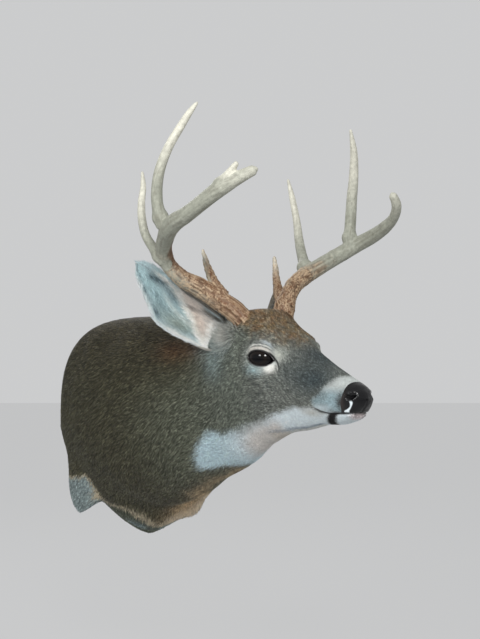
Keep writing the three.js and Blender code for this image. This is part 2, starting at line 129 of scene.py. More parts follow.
def through(rows):
    """A smooth curve through (x, value) pairs, flat where the values turn.

    Between two pairs it is the cubic with the pairs' own slopes: each slope is the harmonic
    mean of the two chords that meet there, or 0 where the chords differ in sign.
    """
    xs, ys = np.array(rows, float).T
    chords = np.diff(ys) / np.diff(xs)
    before, after = chords[:-1], chords[1:]
    turns = before * after <= 0
    total = np.where(turns, 1, before + after)
    inner = np.where(turns, 0, 2 * before * after / total)
    slopes = np.concatenate([chords[:1], inner, chords[-1:]])

    def curve(x):
        """The cubic's value at x, held beyond the first and the last pair."""
        x = np.clip(x, xs[0], xs[-1])
        i = np.clip(np.searchsorted(xs, x, side="right") - 1, 0, len(xs) - 2)
        h = xs[i + 1] - xs[i]
        t = (x - xs[i]) / h
        ends = ys[i] * (1 + 2 * t) * (1 - t) ** 2 + ys[i + 1] * t * t * (3 - 2 * t)
        return ends + h * t * (1 - t) * ((1 - t) * slopes[i] - t * slopes[i + 1])

    return curve


LATTICE = 32
NOISE_TABLE = np.random.default_rng(7).random((LATTICE, LATTICE, LATTICE))


def noise(points, size):
    """A soft random field from 0 to 1 whose lumps are about `size` across.

    Random values on a cubic lattice, blended by the smooth step between the eight corners of
    the cell that a point is in.
    """
    scaled = np.asarray(points, float) / size
    cell = np.floor(scaled).astype(int)
    f = scaled - cell
    f = f * f * (3 - 2 * f)
    x0, y0, z0 = np.moveaxis(cell % LATTICE, -1, 0)
    x1, y1, z1 = (x0 + 1) % LATTICE, (y0 + 1) % LATTICE, (z0 + 1) % LATTICE
    fx, fy, fz = np.moveaxis(f, -1, 0)
    T = NOISE_TABLE
    low = mix(mix(T[x0, y0, z0], T[x1, y0, z0], fx), mix(T[x0, y1, z0], T[x1, y1, z0], fx), fy)
    high = mix(mix(T[x0, y0, z1], T[x1, y0, z1], fx), mix(T[x0, y1, z1], T[x1, y1, z1], fx), fy)
    return mix(low, high, fz)


# %% Colours
def paint(red, green, blue):
    """A colour given from 0 to 255 as a screen shows it, made linear as Blender mixes it."""
    c = np.array([red, green, blue]) / 255
    return np.where(c <= 0.04045, c / 12.92, ((c + 0.055) / 1.055) ** 2.4)


def all_over(tone, points):
    """The same colour for every one of the points."""
    return tone * np.ones(points.shape)


def blend(colour, other, share):
    """One colour laid over another, as strongly as share says."""
    return mix(colour, other, np.clip(share, 0, 1)[..., None])


def layered(colour, layers):
    """Several colours laid over one, in turn. Each layer is a colour and how strong it is."""
    for tone, strong in layers:
        colour = blend(colour, tone, strong)
    return colour


# %% From grids to meshes
def grid_triangles(rows, columns):
    """Two triangles for each cell of a grid that wraps round, numbered row by row."""
    j, i = np.meshgrid(np.arange(rows - 1), np.arange(columns), indexing="ij")
    a = j * columns + i
    b = j * columns + (i + 1) % columns
    c, d = b + columns, a + columns
    cells = np.stack([np.stack([a, b, c], -1), np.stack([a, c, d], -1)], 2)
    return cells.reshape(-1, 3)


def fan(centre, ring):
    """Triangles from one point to every step round a ring of points."""
    return np.stack([np.full(len(ring), centre), np.roll(ring, -1), ring], -1)


def closed_grid(points):
    """Points and triangles of a tube whose two ends are closed by a point in their middle."""
    rows, columns = points.shape[:2]
    flat = points.reshape(-1, 3)
    ends = np.stack([points[0].mean(0), points[-1].mean(0)])
    first, last = len(flat), len(flat) + 1
    ring = np.arange(columns)
    front = fan(first, ring)
    back = fan(last, (rows - 1) * columns + ring)[:, ::-1]
    triangles = np.concatenate([grid_triangles(rows, columns), front, back])
    return np.concatenate([flat, ends]), triangles


def outward(points, triangles):
    """The same triangles, all turned over if the volume that they enclose is negative."""
    a, b, c = np.moveaxis(points[triangles], 1, 0)
    volume = np.einsum("ij,ij->i", a, np.cross(b, c)).sum()
    return triangles if volume > 0 else triangles[:, ::-1]


def new_piece(name, points, triangles, material, tint=None):
    """An object from millimetre points and triangles, with a colour for each point."""
    mesh = bpy.data.meshes.new(name)
    mesh.vertices.add(len(points))
    mesh.vertices.foreach_set("co", (points * MM).astype(np.float32).ravel())
    mesh.loops.add(triangles.size)
    mesh.loops.foreach_set("vertex_index", triangles.astype(np.int32).ravel())
    mesh.polygons.add(len(triangles))
    mesh.polygons.foreach_set("loop_start", np.arange(0, triangles.size, 3, dtype=np.int32))
    mesh.update(calc_edges=True)
    mesh.polygons.foreach_set("use_smooth", np.ones(len(triangles), bool))
    if tint is not None:
        colour = mesh.color_attributes.new("tint", "FLOAT_COLOR", "POINT")
        rgba = np.concatenate([tint, np.ones((len(tint), 1))], 1)
        colour.data.foreach_set("color", rgba.astype(np.float32).ravel())
    mesh.materials.append(material)
    piece = bpy.data.objects.new(name, mesh)
    bpy.context.collection.objects.link(piece)
    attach(piece, "root")
    print(f"{name}: {len(triangles)} triangles")
    return piece

# %% [markdown]
# ## Finishes
#
# Hair, hide, horn and glass differ mostly in how they take light. Colour that changes over a
# piece is painted on its points as an attribute called tint, because markings follow the
# animal and not a texture's own axes. Most materials read that attribute, break it up with
# noise on object coordinates, and add a bump at their own scale.

# %% Material helpers
def new_material(name, roughness, specular=0.5):
    """A material with its Principled shader's plain values set on the sockets themselves."""
    material = bpy.data.materials.new(name)
    material.use_nodes = True
    shader = material.node_tree.nodes["Principled BSDF"]
    shader.inputs["Roughness"].default_value = roughness
    shader.inputs["Specular IOR Level"].default_value = specular
    return material, material.node_tree, shader


def add_node(tree, kind, **values):
    """A node of one kind, with its input sockets set by name."""
    node = tree.nodes.new(kind)
    for socket, value in values.items():
        node.inputs[socket].default_value = value
    return node


def on_object(tree, pattern, stretch=None):
    """Feeds a node object coordinates. A stretch below 1 draws its pattern out along an axis."""
    place = tree.nodes.new("ShaderNodeTexCoord").outputs["Object"]
    if stretch is not None:
        mapping = add_node(tree, "ShaderNodeMapping", Scale=stretch)
        tree.links.new(place, mapping.inputs["Vector"])
        place = mapping.outputs["Vector"]
    tree.links.new(place, pattern.inputs["Vector"])
    return pattern


def object_noise(tree, scale, detail=3.0, stretch=(1, 1, 1)):
    """Noise on object coordinates."""
    grain = add_node(tree, "ShaderNodeTexNoise", Scale=scale, Detail=detail)
    return on_object(tree, grain, stretch).outputs["Fac"]


def object_cells(tree, scale):
    """A pattern of cells, each round its own random point, on object coordinates."""
    return on_object(tree, add_node(tree, "ShaderNodeTexVoronoi", Scale=scale)).outputs


def ranged(tree, value, low, high, start=0.0, end=1.0):
    """A value made low up to where it is start, high from end on, and even in between."""
    node = add_node(tree, "ShaderNodeMapRange")
    for socket, number in zip(("From Min", "From Max", "To Min", "To Max"), (start, end, low, high)):
        node.inputs[socket].default_value = number
    tree.links.new(value, node.inputs["Value"])
    return node.outputs["Result"]


def worked(tree, operation, first, second):
    """One sum on a socket and a second socket or a number."""
    node = tree.nodes.new("ShaderNodeMath")
    node.operation = operation
    tree.links.new(first, node.inputs[0])
    if isinstance(second, float):
        node.inputs[1].default_value = second
    else:
        tree.links.new(second, node.inputs[1])
    return node.outputs["Value"]


def vary(tree, colour, amount, grain):
    """The colour made lighter and darker by a grain: times 1 - amount to 1 + amount."""
    factor = ranged(tree, grain, 1 - amount, 1 + amount, 0.3, 0.7)
    scaled = tree.nodes.new("ShaderNodeVectorMath")
    scaled.operation = "SCALE"
    tree.links.new(colour, scaled.inputs[0])
    tree.links.new(factor, scaled.inputs["Scale"])
    return scaled.outputs["Vector"]


def painted(tree):
    """The colours painted on a piece's points."""
    tint = tree.nodes.new("ShaderNodeAttribute")
    tint.attribute_name = "tint"
    return tint.outputs["Color"]


def set_bump(tree, shader, height, strength, distance):
    """Fine relief from a height, which is given in metres by distance."""
    bump = add_node(tree, "ShaderNodeBump", Strength=strength, Distance=distance)
    tree.links.new(height, bump.inputs["Height"])
    tree.links.new(bump.outputs["Normal"], shader.inputs["Normal"])


def tinted(name, roughness, specular, vary_by, scale, bump_scale, bump_depth):
    """A finish that takes the painted tint, varies it, and has a fine relief."""
    material, tree, shader = new_material(name, roughness, specular)
    colour = vary(tree, painted(tree), vary_by, object_noise(tree, scale))
    tree.links.new(colour, shader.inputs["Base Color"])
    set_bump(tree, shader, object_noise(tree, bump_scale, 2), 0.6, bump_depth)
    return material, tree, shader


# %% Hair, hide, horn, nose and eye
# roughness, specular level, how much the tint varies, the grain's scale, the relief's, its depth
hair_finish = tinted("deer_hair", 0.62, 0.3, 0.1, 260, 900, 0.0002)[0]
hide_finish = tinted("short_hair_and_hide", 0.7, 0.25, 0.16, 420, 1100, 0.0006)[0]
ear_finish = tinted("ear_leather", 0.6, 0.3, 0.12, 240, 700, 0.0005)[0]
lid_finish = tinted("wet_lid", 0.3, 0.45, 0.1, 300, 1500, 0.0002)[0]
horn_finish, horn_tree, horn_shader = tinted("antler", 0.5, 0.4, 0.16, 180, 520, 0.0005)
horn_roughness = ranged(horn_tree, object_noise(horn_tree, 90), 0.52, 0.72)
horn_tree.links.new(horn_roughness, horn_shader.inputs["Roughness"])

eye_finish, eye_tree, eye_shader = new_material("eye_glass", 0.05, 0.22)
fleck = vary(eye_tree, painted(eye_tree), 0.35, object_noise(eye_tree, 900, 2))
eye_tree.links.new(fleck, eye_shader.inputs["Base Color"])

nose_finish, nose_tree, nose_shader = new_material("nose_leather", 0.17, 0.32)
nose_tree.links.new(painted(nose_tree), nose_shader.inputs["Base Color"])
pebbles = ranged(nose_tree, object_cells(nose_tree, 620.0)["Distance"], 1.0, 0.0, end=0.7)
set_bump(nose_tree, nose_shader, pebbles, 0.45, 0.0004)
finishes = (hair_finish, hide_finish, ear_finish, lid_finish, horn_finish, eye_finish, nose_finish)
print("finishes:", [finish.name for finish in finishes])

# %% [markdown]
# ## The form under the coat
#
# Trunk, neck and head are one closed sweep. Each section is a rounded box about its own widest
# height, given by six curves of the distance s from the wall: its top, its bottom, its half
# width, that height, and how square its upper and lower halves are. The centre line bends in
# plan, because the head is turned to the animal's left.

# %% The head's own frame
YAW = np.radians(37)
AHEAD = np.array([np.sin(YAW), -np.cos(YAW), 0.0])
LEFT = np.array([np.cos(YAW), np.sin(YAW), 0.0])
UP = np.array([0.0, 0.0, 1.0])
HEAD_AXES = np.stack([AHEAD, LEFT, UP])
EYE_LEVEL = 147.0  # the eyes' height above the mount's middle
BETWEEN_EYES = np.array([260.0, -450.0, EYE_LEVEL])


def from_head(points):
    """Head coordinates (ahead, to its left, up, from midway between the eyes) to the mount's."""
    return BETWEEN_EYES + points @ HEAD_AXES


def to_head(points):
    """The mount's coordinates to the head's."""
    return (points - BETWEEN_EYES) @ HEAD_AXES.T


# %% The sections
NAPE_X = -110  # the nape, ahead of the eyes
NECK_LENGTH = 420  # where the straight head begins, along the form
FORM_LENGTH = 708
HEAD_FROM = 0.72  # the share of the neck's length where the face's lumps begin
LEAN = 0.22  # how far the neck heads sideways, for each unit ahead, as it leaves the wall

# s from the wall, then top, bottom, half width and widest height above the mount's middle,
# then how square the upper and lower halves are (2 is an ellipse).
TRUNK_ROWS = [
    [0, 214, -221, 181, 0, 3.0, 1.45],
    [18, 215, -213, 182, 2, 2.95, 1.48],
    [45, 216, -203, 180, 6, 2.9, 1.54],
    [75, 217, -190, 175, 10, 2.8, 1.56],
    [110, 217, -160, 167, 16, 2.7, 1.7],
    [140, 217, -144, 157, 24, 2.6, 1.85],
    [170, 216, -136, 146, 32, 2.5, 1.96],
    [250, 214, -107, 119, 55, 2.3, 2.0],
    [330, 210, -73, 97, 80, 2.2, 2.0],
    [385, 208, -51, 84, 97, 2.2, 1.95],
]

# The same for the head, by the distance ahead of the eyes and heights above them.
HEAD_ROWS = [
    [-110, 62, -181, 78, -38, 2.25, 1.9],
    [-92, 70, -169, 73, -27, 2.3, 1.85],
    [-76, 78, -158.5, 69, -17, 2.4, 1.8],
    [-60, 79, -148, 65, -8, 2.5, 1.75],
    [-42, 70, -139.5, 63, -2, 2.6, 1.7],
    [-24, 57, -131, 61.5, 1, 2.7, 1.7],
    [-8, 48, -124, 58, 0, 2.7, 1.7],
    [8, 39, -118.5, 52, -6, 2.5, 1.7],
    [24, 30, -115.5, 47, -16, 2.4, 1.7],
    [42, 20, -112.5, 42, -30, 2.2, 1.8],
    [65, 9, -107, 37, -44, 2.1, 1.9],
    [96, -6, -99.5, 32, -54, 2.1, 2.0],
    [125, -19, -97, 28, -59, 2.2, 2.1],
    [145, -28, -92, 25.5, -60, 2.3, 2.2],
    [155, -33, -87, 24, -59, 2.3, 2.3],
    [161, -36, -79, 22.5, -57, 2.2, 2.3],
    [168, -41, -72, 19, -56, 2.1, 2.2],
    [174, -46, -67, 12, -56, 2.0, 2.0],
    [178, -53, -60, 3, -56, 2.0, 2.0],
]

# %% The sections as curves
raised = [
    [x - NAPE_X + NECK_LENGTH, top + EYE_LEVEL, bottom + EYE_LEVEL, wide, middle + EYE_LEVEL, *square]
    for x, top, bottom, wide, middle, *square in HEAD_ROWS
]
FORM_ROWS = np.array(TRUNK_ROWS + raised, float)
top_of, bottom_of, half_width, widest_at, top_square, bottom_square = [
    through(FORM_ROWS[:, [0, k]]) for k in range(1, 7)
]

nape = from_head(np.array([NAPE_X, 0.0, 0.0]))[:2]
leaning = [LEAN * NECK_LENGTH / 3, -NECK_LENGTH / 3]
PLAN = np.array([[0, 0], leaning, nape - AHEAD[:2] * NECK_LENGTH / 3, nape])


def reach_of(s, angle):
    """How far a section reaches at an angle from its top: a superellipse in each half."""
    up = np.cos(angle) >= 0
    tall = np.where(up, top_of(s) - widest_at(s), widest_at(s) - bottom_of(s))
    square = np.where(up, top_square(s), bottom_square(s))
    across = np.abs(np.sin(angle)) / half_width(s)
    return (across**square + (np.abs(np.cos(angle)) / tall) ** square) ** (-1 / square)


def place(s, across, height):
    """Section coordinates to the mount's: along a bent cubic in the neck, straight ahead after."""
    t = np.clip(s / NECK_LENGTH, 0, 1)[..., None]
    centre = (1 - t) ** 3 * PLAN[0] + 3 * (1 - t) ** 2 * t * PLAN[1]
    centre = centre + 3 * (1 - t) * t * t * PLAN[2] + t**3 * PLAN[3]
    yaw = YAW * smooth(0, 1, t[..., 0])
    x, y = centre[..., 0] + across * np.cos(yaw), centre[..., 1] + across * np.sin(yaw)
    body = np.stack([x, y, height], -1)
    head = from_head(np.stack([s - NECK_LENGTH + NAPE_X, across, height - EYE_LEVEL], -1))
    return np.where((s > NECK_LENGTH)[..., None], head, body)


# %% [markdown]
# ## The face
#
# A deer's head is bone just under thin skin, so it is modelled as a plain sweep with soft
# lumps and hollows added: brow, cheekbone, jaw muscle, lip and nostril wing. The eye is set by
# its own rule. In a frame that looks straight out of the eye, the lids are a height over the
# eyeball, and the skin is drawn on to it near the opening. The opening itself is two arcs of
# circles that meet at the front corner, and the rounder end of an ellipse behind.

# %% Lumps and hollows of the face
# ahead, sideways, up, how far it reaches, and how high it stands, in millimetres
FACE_FORMS = [
    [-5, 56, 22, 15, 6],  # brow over the eye
    [-14, 56, -24, 18, 4],  # cheekbone
    [-5, 56, -1, 15, -9],  # the eye's own hollow
    [-45, 50, -70, 38, 5],  # jaw muscle
    [112, 30, -64, 20, 2.5],  # upper lip
    [154, 22, -56, 11, 3],  # wing of the nostril
    [24, 44, -8, 13, -2],  # hollow in front of the eye
    [-68, 44, 62, 22, 8],  # stump of the antler
    [-42, 54, 34, 18, -2],  # temple
    [16, 42, 17, 10, 5],  # the brow's front end
]

# the height of the mouth line, by the distance ahead of the eyes
mouth_line = through(
    [[84, -71], [92, -73.5], [106, -77], [122, -79], [140, -78], [160, -77.5], [172, -77.5]]
)
# how far the nose pad's rear edge is moved ahead, by height
pad_shift = through([[-78, 0], [-63, 1.5], [-50, 4.5], [-36, 5.5], [-24, 9]])


def face_push(x, y, z):
    """How far the face stands out of the plain sweep: a bell round each lump's centre."""
    push = 0
    for fx, fy, fz, reach, height in FACE_FORMS:
        distance = np.sqrt((x - fx) ** 2 + (np.abs(y) - fy) ** 2 + (z - fz) ** 2)
        push = push + height * bell(distance, reach)
    return push


def blunt(x):
    """The very tip of the nose is pressed back by a few millimetres."""
    return x - 3.5 * smooth(158, 178, x)


def mouth_groove(x, z):
    """A crease along the mouth line, with the lip swelling over it."""
    along = smooth(84, 92, x) * (1 - smooth(164, 172, x))
    below = z - mouth_line(x)
    return along * (-2.6 * bell(below, 1.7) + 0.9 * bell(below - 5, 4) + 0.5 * bell(below + 5, 4))


def leg_lobe(s, angle):
    """The skin of the cut-off foreleg hangs below the trunk's rear edge, most at the right.

    In front of the left leg the brisket ends in a low corner.
    """
    turn = turn_of(angle)
    aside = np.abs(turn) - 2.46
    width = np.where(aside < 0, 0.37, 0.07)
    height = np.where(turn < 0, 52, 4)
    corner = 11 * bell(turn - 2.74, 0.12) * bell(s - 74, 24)
    return height * bell(aside, width) * (1 - smooth(0, 60, s)) + corner


# %% The eye's own frame
EYE_RADIUS = 20.5
EYE_DEPTH = 16.5  # the ball's middle is this far inside the lids' plane
EYE_LENGTH = 23.5  # from the opening's middle to its front corner
EYE_SHIFT = 3.0  # the ball's middle is this far behind the opening's
EYE_STRETCH = 1.2  # the ball is longer along the lids than across them
UPPER_LID, LOWER_LID = 12.5, 11.5  # how far each lid is open
EYE_FORWARD, EYE_SIDEWAYS = 0.423, 0.906  # which way the eye looks
EYE_TILT = np.radians(8)
EYE_AT = (-9.5, 55.0)  # the opening's middle, ahead and sideways
EYE_ZONE = -35  # what lies deeper than this under the lids' plane is not at the eye


def eye_frame(side):
    """Axes along the lids, up across them and straight out, and the middle of the opening."""
    level = np.array([EYE_SIDEWAYS, -EYE_FORWARD * side, 0.0])
    along = np.cos(EYE_TILT) * level - np.sin(EYE_TILT) * UP
    upward = np.sin(EYE_TILT) * level + np.cos(EYE_TILT) * UP
    out = np.array([EYE_FORWARD, EYE_SIDEWAYS * side, 0.0])
    return np.stack([along, upward, out]), np.array([EYE_AT[0], EYE_AT[1] * side, 0.0])


def in_eye_frame(head, side):
    """Head coordinates to the eye's: along the lids, across them, and out."""
    axes, middle = eye_frame(side)
    return np.moveaxis((head - middle) @ axes.T, -1, 0)


def lid_gap(u, v):
    """Distance from the opening's edge, less than 0 inside: the farther of two circles' edges.

    Behind, the opening is rounder, so an ellipse's edge takes over there.
    """
    upper = (EYE_LENGTH**2 + UPPER_LID**2) / (2 * UPPER_LID)
    lower = (EYE_LENGTH**2 + LOWER_LID**2) / (2 * LOWER_LID)
    above = np.hypot(u, v - UPPER_LID + upper) - upper
    beneath = np.hypot(u, v + LOWER_LID - lower) - lower
    tall = np.where(v > 0, UPPER_LID, LOWER_LID)
    wide = EYE_LENGTH - 1.5
    share = np.hypot(u / wide, v / tall)
    ellipse = (share - 1) * share / np.maximum(np.hypot(u / wide**2, v / tall**2), 1e-6)
    return mix(ellipse, np.maximum(above, beneath), smooth(-10, 4, u))


def eye_bed(u, v):
    """Height of the eyeball's front over the lids' plane. A floor, lower behind, is the corners."""
    behind = (u + EYE_SHIFT) / EYE_STRETCH
    ball = np.sqrt(np.maximum(EYE_RADIUS**2 - behind**2 - v * v, 0)) - EYE_DEPTH
    floor = -3.6 - 0.1 * np.maximum(-u - 8, 0)
    return np.maximum(ball, floor)


# %% The crease and the lids
TEAR_DUCT = np.array([[14.0, 9.8], [21.0, 6.0], [27.5, 0.0], [33.5, -7.0], [37.0, -12.5]])


def duct_distance(u, v):
    """Distance from the crease that runs down and ahead from the eye's front corner."""
    best = np.full(np.shape(u), 99.0)
    for (u0, v0), (u1, v1) in zip(TEAR_DUCT[:-1], TEAR_DUCT[1:]):
        du, dv = u1 - u0, v1 - v0
        along = np.clip(((u - u0) * du + (v - v0) * dv) / (du**2 + dv**2), 0, 1)
        best = np.minimum(best, np.hypot(u - u0 - along * du, v - v0 - along * dv))
    return best


def set_lids(head, side):
    """Draws the skin on to the eyeball near the opening and sinks it inside."""
    u, v, height = in_eye_frame(head, side)
    gap = lid_gap(u, v)
    lid = mix(-6.0, 0.4, smooth(-2.4, 0.1, gap)) + 1.7 * smooth(0, 1.8, gap)
    upper = smooth(-2, 4, v)
    fold = -1.4 * bell(gap - 7.0, 0.9) + 0.9 * bell(gap - 9.2, 1.4) - 0.8 * bell(gap - 12.0, 0.9)
    lower_fold = -0.6 * bell(gap - 5, 0.9) - 0.4 * bell(gap - 8.5, 0.9)
    lid = lid + mix(lower_fold, fold, upper) * smooth(24, 10, np.abs(u))
    hold = (1 - smooth(3, mix(26, 19, smooth(-20, 0, u)), gap)) * (height > EYE_ZONE)
    near = (height > EYE_ZONE) * (gap < 60)
    drawn = mix(height, eye_bed(u, v) + lid, hold)
    drawn = drawn - 2.0 * bell(duct_distance(u, v), 2.2) * near * (gap > 0)
    return head + (drawn - height)[..., None] * eye_frame(side)[0][2]


# %% The skin as a function of two parameters
# how thick the coat lies, by s
coat_depth = through(
    [[0, 6], [300, 5.5], [400, 3.6], [450, 2.2], [560, 1.4], [620, 1.0], [708, 0.7]]
)


def skin_point(s, angle):
    """The skin, s from the wall and an angle round from the top of the section.

    The reach of the plain section, plus the leg's lobe, the face's lumps and the mouth's
    groove, less the depth of the coat that will lie on it. Under the nose pad it sinks in.
    """
    reach = reach_of(s, angle) + leg_lobe(s, angle)
    across, upward = np.sin(angle), np.cos(angle)
    x = s - NECK_LENGTH + NAPE_X
    z = widest_at(s) + reach * upward - EYE_LEVEL
    in_head = smooth(HEAD_FROM * NECK_LENGTH, NECK_LENGTH, s)
    out = in_head * face_push(x, reach * across, z) + mouth_groove(x, z)
    over_mouth = smooth(-2, 0.5, z - mouth_line(x))
    behind_pad = x - pad_shift(z)
    under_nose = 2.4 * smooth(143, 148, behind_pad) + 0.55 * reach * smooth(148, 153, behind_pad)
    reach = reach + out - coat_depth(s) - over_mouth * under_nose
    points = place(s, reach * across, widest_at(s) + reach * upward)
    head = to_head(points)
    head[..., 0] = blunt(head[..., 0])
    for side in (-1, 1):
        head = set_lids(head, side)
    face = in_head[..., None] > 0
    points = np.where(face, from_head(head), points)
    points[..., 1] -= 3 * bell(s, 6)
    return points


# %% The skin's grid
def spread(density, low, high, count):
    """Values from low to high, packed closer where a density is higher."""
    fine = np.linspace(low, high, 4000)
    total = np.concatenate([[0], np.cumsum(density(fine[:-1]))])
    return np.interp(np.linspace(0, total[-1], count), total, fine)


def ring_density(s):
    """Rings lie closer on the head, closer still towards the nose, and closest at the eyes."""
    x = s - NECK_LENGTH + NAPE_X
    return 0.18 + 0.25 * smooth(360, 440, s) + 0.5 * bell(x + 6, 34) + 0.22 * smooth(70, 100, x)


def column_density(angle):
    """Columns lie closer at the height of the eyes and along the mouth."""
    turn = np.abs(turn_of(angle))
    return 1 + 1.3 * bell(turn - 1.45, 0.45) + 0.5 * bell(turn - 2.2, 0.3)


SKIN_RINGS, SKIN_COLUMNS = 254, 380
skin_s = spread(ring_density, 0, FORM_LENGTH, SKIN_RINGS)
skin_angle = spread(column_density, 0, 2 * np.pi, SKIN_COLUMNS + 1)[:-1]
ring_s, ring_angle = np.meshgrid(skin_s, skin_angle, indexing="ij")
skin_grid = skin_point(ring_s, ring_angle)


def grid_normals(points):
    """Unit normals of a grid that wraps round: the cross product of its two directions."""
    ahead = np.gradient(points, axis=0)
    round_it = np.roll(points, -1, 1) - np.roll(points, 1, 1)
    return unit(np.cross(ahead, round_it))


skin_normal = grid_normals(skin_grid)
outwards = (skin_normal[5, 0] * UP).sum()
print("skin grid", skin_grid.shape, "normal at the withers points up by", round(float(outwards), 2))

# %% [markdown]
# ## Markings
#
# A white-tail's winter coat is grey-brown, each hair banded dark, pale and dark. The face is
# greyer, with a brown cap, pale rings round the eyes, a pale band behind the nose, a white
# chin with a black spot at each side of the lower lip, a white bib on the throat, and pale
# hair at the edge where the forelegs were. One function says what colour grows where, and both
# the skin and the hair on it ask the same function.
# Some of what it paints is shade: under the jaws, in the folds of the lids, between the ears and the
# antlers, and on the hide under the rim.

# %% The colours
OLIVE = paint(82, 80, 62)
BACK = paint(66, 60, 44)
NECK_GREY = paint(108, 112, 96)
JAW_GREY = paint(108, 114, 104)
FACE_GREY = paint(115, 119, 113)
MUZZLE_DARK = paint(66, 76, 78)
CAP = paint(120, 98, 62)
FOX = paint(124, 84, 54)
WHITE = paint(228, 238, 242)
WARM_WHITE = paint(232, 232, 226)
BIB_BLUE = paint(212, 234, 242)
THROAT_SHADE_TINT = paint(216, 208, 200)
CHIN_TAN = paint(206, 198, 184)
CHIN_SHADE = paint(104, 124, 144)
PALE_BLUE = paint(164, 188, 196)
TAN = paint(194, 168, 132)
SHADED_UNDER_HIDE = paint(84, 90, 72)
LOBE_GREY = paint(150, 164, 164)
CREAM = paint(222, 208, 180)
CREAM_PINK = paint(244, 226, 200)
EAR_BACK = paint(104, 96, 80)
EAR_INSIDE = paint(178, 204, 208)
EAR_THIN = paint(150, 160, 150)
EAR_STREAK_AND_SHADE = paint(86, 108, 116)
EAR_CREAM = paint(250, 247, 238)
EAR_PINK = paint(226, 204, 188)
EAR_DARK_AND_SHADOW = paint(58, 66, 62)
EAR_UMBER = paint(120, 100, 88)
LIP_BLACK = paint(26, 25, 25)


# %% Where the markings end
def spot(head, centre, reach):
    """A soft spot at both sides of the head: a bell of the distance, divided by its reach."""
    away = np.stack([head[..., 0], np.abs(head[..., 1]), head[..., 2]], -1) - np.array(centre)
    return np.exp(-((away / np.array(reach)) ** 2).sum(-1))


# the bib's edges: the angle from the midline below, by s, and s by that angle
bib_upper = through([
    [332, 18], [345, 24], [356, 29], [372, 35], [392, 39],
    [408, 38], [424, 33], [455, 23], [500, 18], [540, 17],
])
bib_lower = through(
    [[0, 425], [5, 416], [11, 398], [14, 374], [17, 350], [23, 342], [30, 346], [40, 362], [50, 376]]
)
# where the coat ends in a pale rim along the cut edge, at the animal's right and left: s by
# the angle from the midline below
right_edge = through(
    [[0, 76], [5, 78], [12, 86], [19, 86], [25, 72], [31, 47], [38, 45], [45, 56], [52, 56], [60, -20]]
)
left_edge = through([[0, 70], [7, 72], [13, 76], [19, 80], [25, 84], [32, 86], [45, 40], [60, -20]])
# the brown cap's lower edge and the white jaw's upper edge, by the distance ahead of the eyes,
# and where the pale band behind the nose begins, by height
cap_line = through([[-110, 50], [-60, 50], [-39, 43], [20, 27], [45, 20], [60, 16]])
pale_rear = through(
    [[-75, 92], [-62, 94], [-55, 101], [-45, 113], [-35, 123], [-25, 134], [-18, 150]]
)
jaw_line = through(
    [[-60, -118], [-34, -106], [13, -84], [62, -74], [90, -74], [111, -78], [140, -78]]
)


# %% Trunk and neck
def body_colour(s, angle, points):
    """The coat's colour on trunk and neck: olive brown, darker on top, tan along the keel.

    The keel of the brisket hangs a little to the animal's left of the section's lowest point,
    and further up the neck it runs along the middle.
    Below the rim, the inside of the legs shows: bare grey hide, darkened by painted shade under the
    rim, and paler on the right leg's lobe.
    """
    turn, under = np.abs(turn_of(angle)), from_below(angle)
    left = np.where(turn_of(angle) > 0, under, -under)
    rough = 9 * (noise(points, 22) - 0.5) + 5 * (noise(points, 8) - 0.5)
    keel_line = mix(18, 1, smooth(190, 280, s))
    keel = bell(left - keel_line + 0.7 * rough, mix(15, 9, smooth(80, 240, s)))
    keel = keel * mix(0.95, 0.62, smooth(170, 300, s)) * (1 - smooth(395, 430, s))
    past = s - np.where(left > 0, left_edge(under), right_edge(under)) + 0.6 * rough
    # The hide under the rim is dark: its own grey with painted shade on it.
    hide = layered(all_over(SHADED_UNDER_HIDE, points), [
        (PALE_BLUE, 0.6 * bell(under - 9, 5) * bell(s - 42, 18)),
        (LOBE_GREY, smooth(31, 36, under)),
    ])
    rim_width = mix(5.5, 15, smooth(-2, 8, left) * (1 - smooth(28, 40, left)))
    rim = bell(past - 0.5 * rim_width, rim_width) * (under < 58)
    rim = rim * mix(0.75, 1.1, noise(points + 90, 9))
    return layered(all_over(OLIVE, points), [
        (BACK, 0.8 * (1 - smooth(0.4, 1.3, turn))),
        (NECK_GREY, smooth(190, 360, s) * smooth(0.9, 1.9, turn)),
        (JAW_GREY, 0.85 * smooth(330, 460, s) * smooth(0.5, 1.2, turn)),
        (mix(TAN * 0.7, TAN, smooth(0.3, 0.9, keel)[..., None]), keel),
        (hide, (1 - smooth(-4, 3, past)) * (under < 66)),
        (mix(CREAM, CREAM_PINK, smooth(0, 10, left)[..., None]), 0.95 * rim),
    ])


def throat_share(s, angle, points):
    """How far a point is inside the white bib."""
    under = from_below(angle)
    rough = noise(points, 14) - 0.5
    inside = smooth(-13, 13, s - bib_lower(under) + 9 * rough)
    inside = inside * smooth(-6, 5, bib_upper(s) - under + 4 * rough)
    return inside * (1 - smooth(520, 545, s))


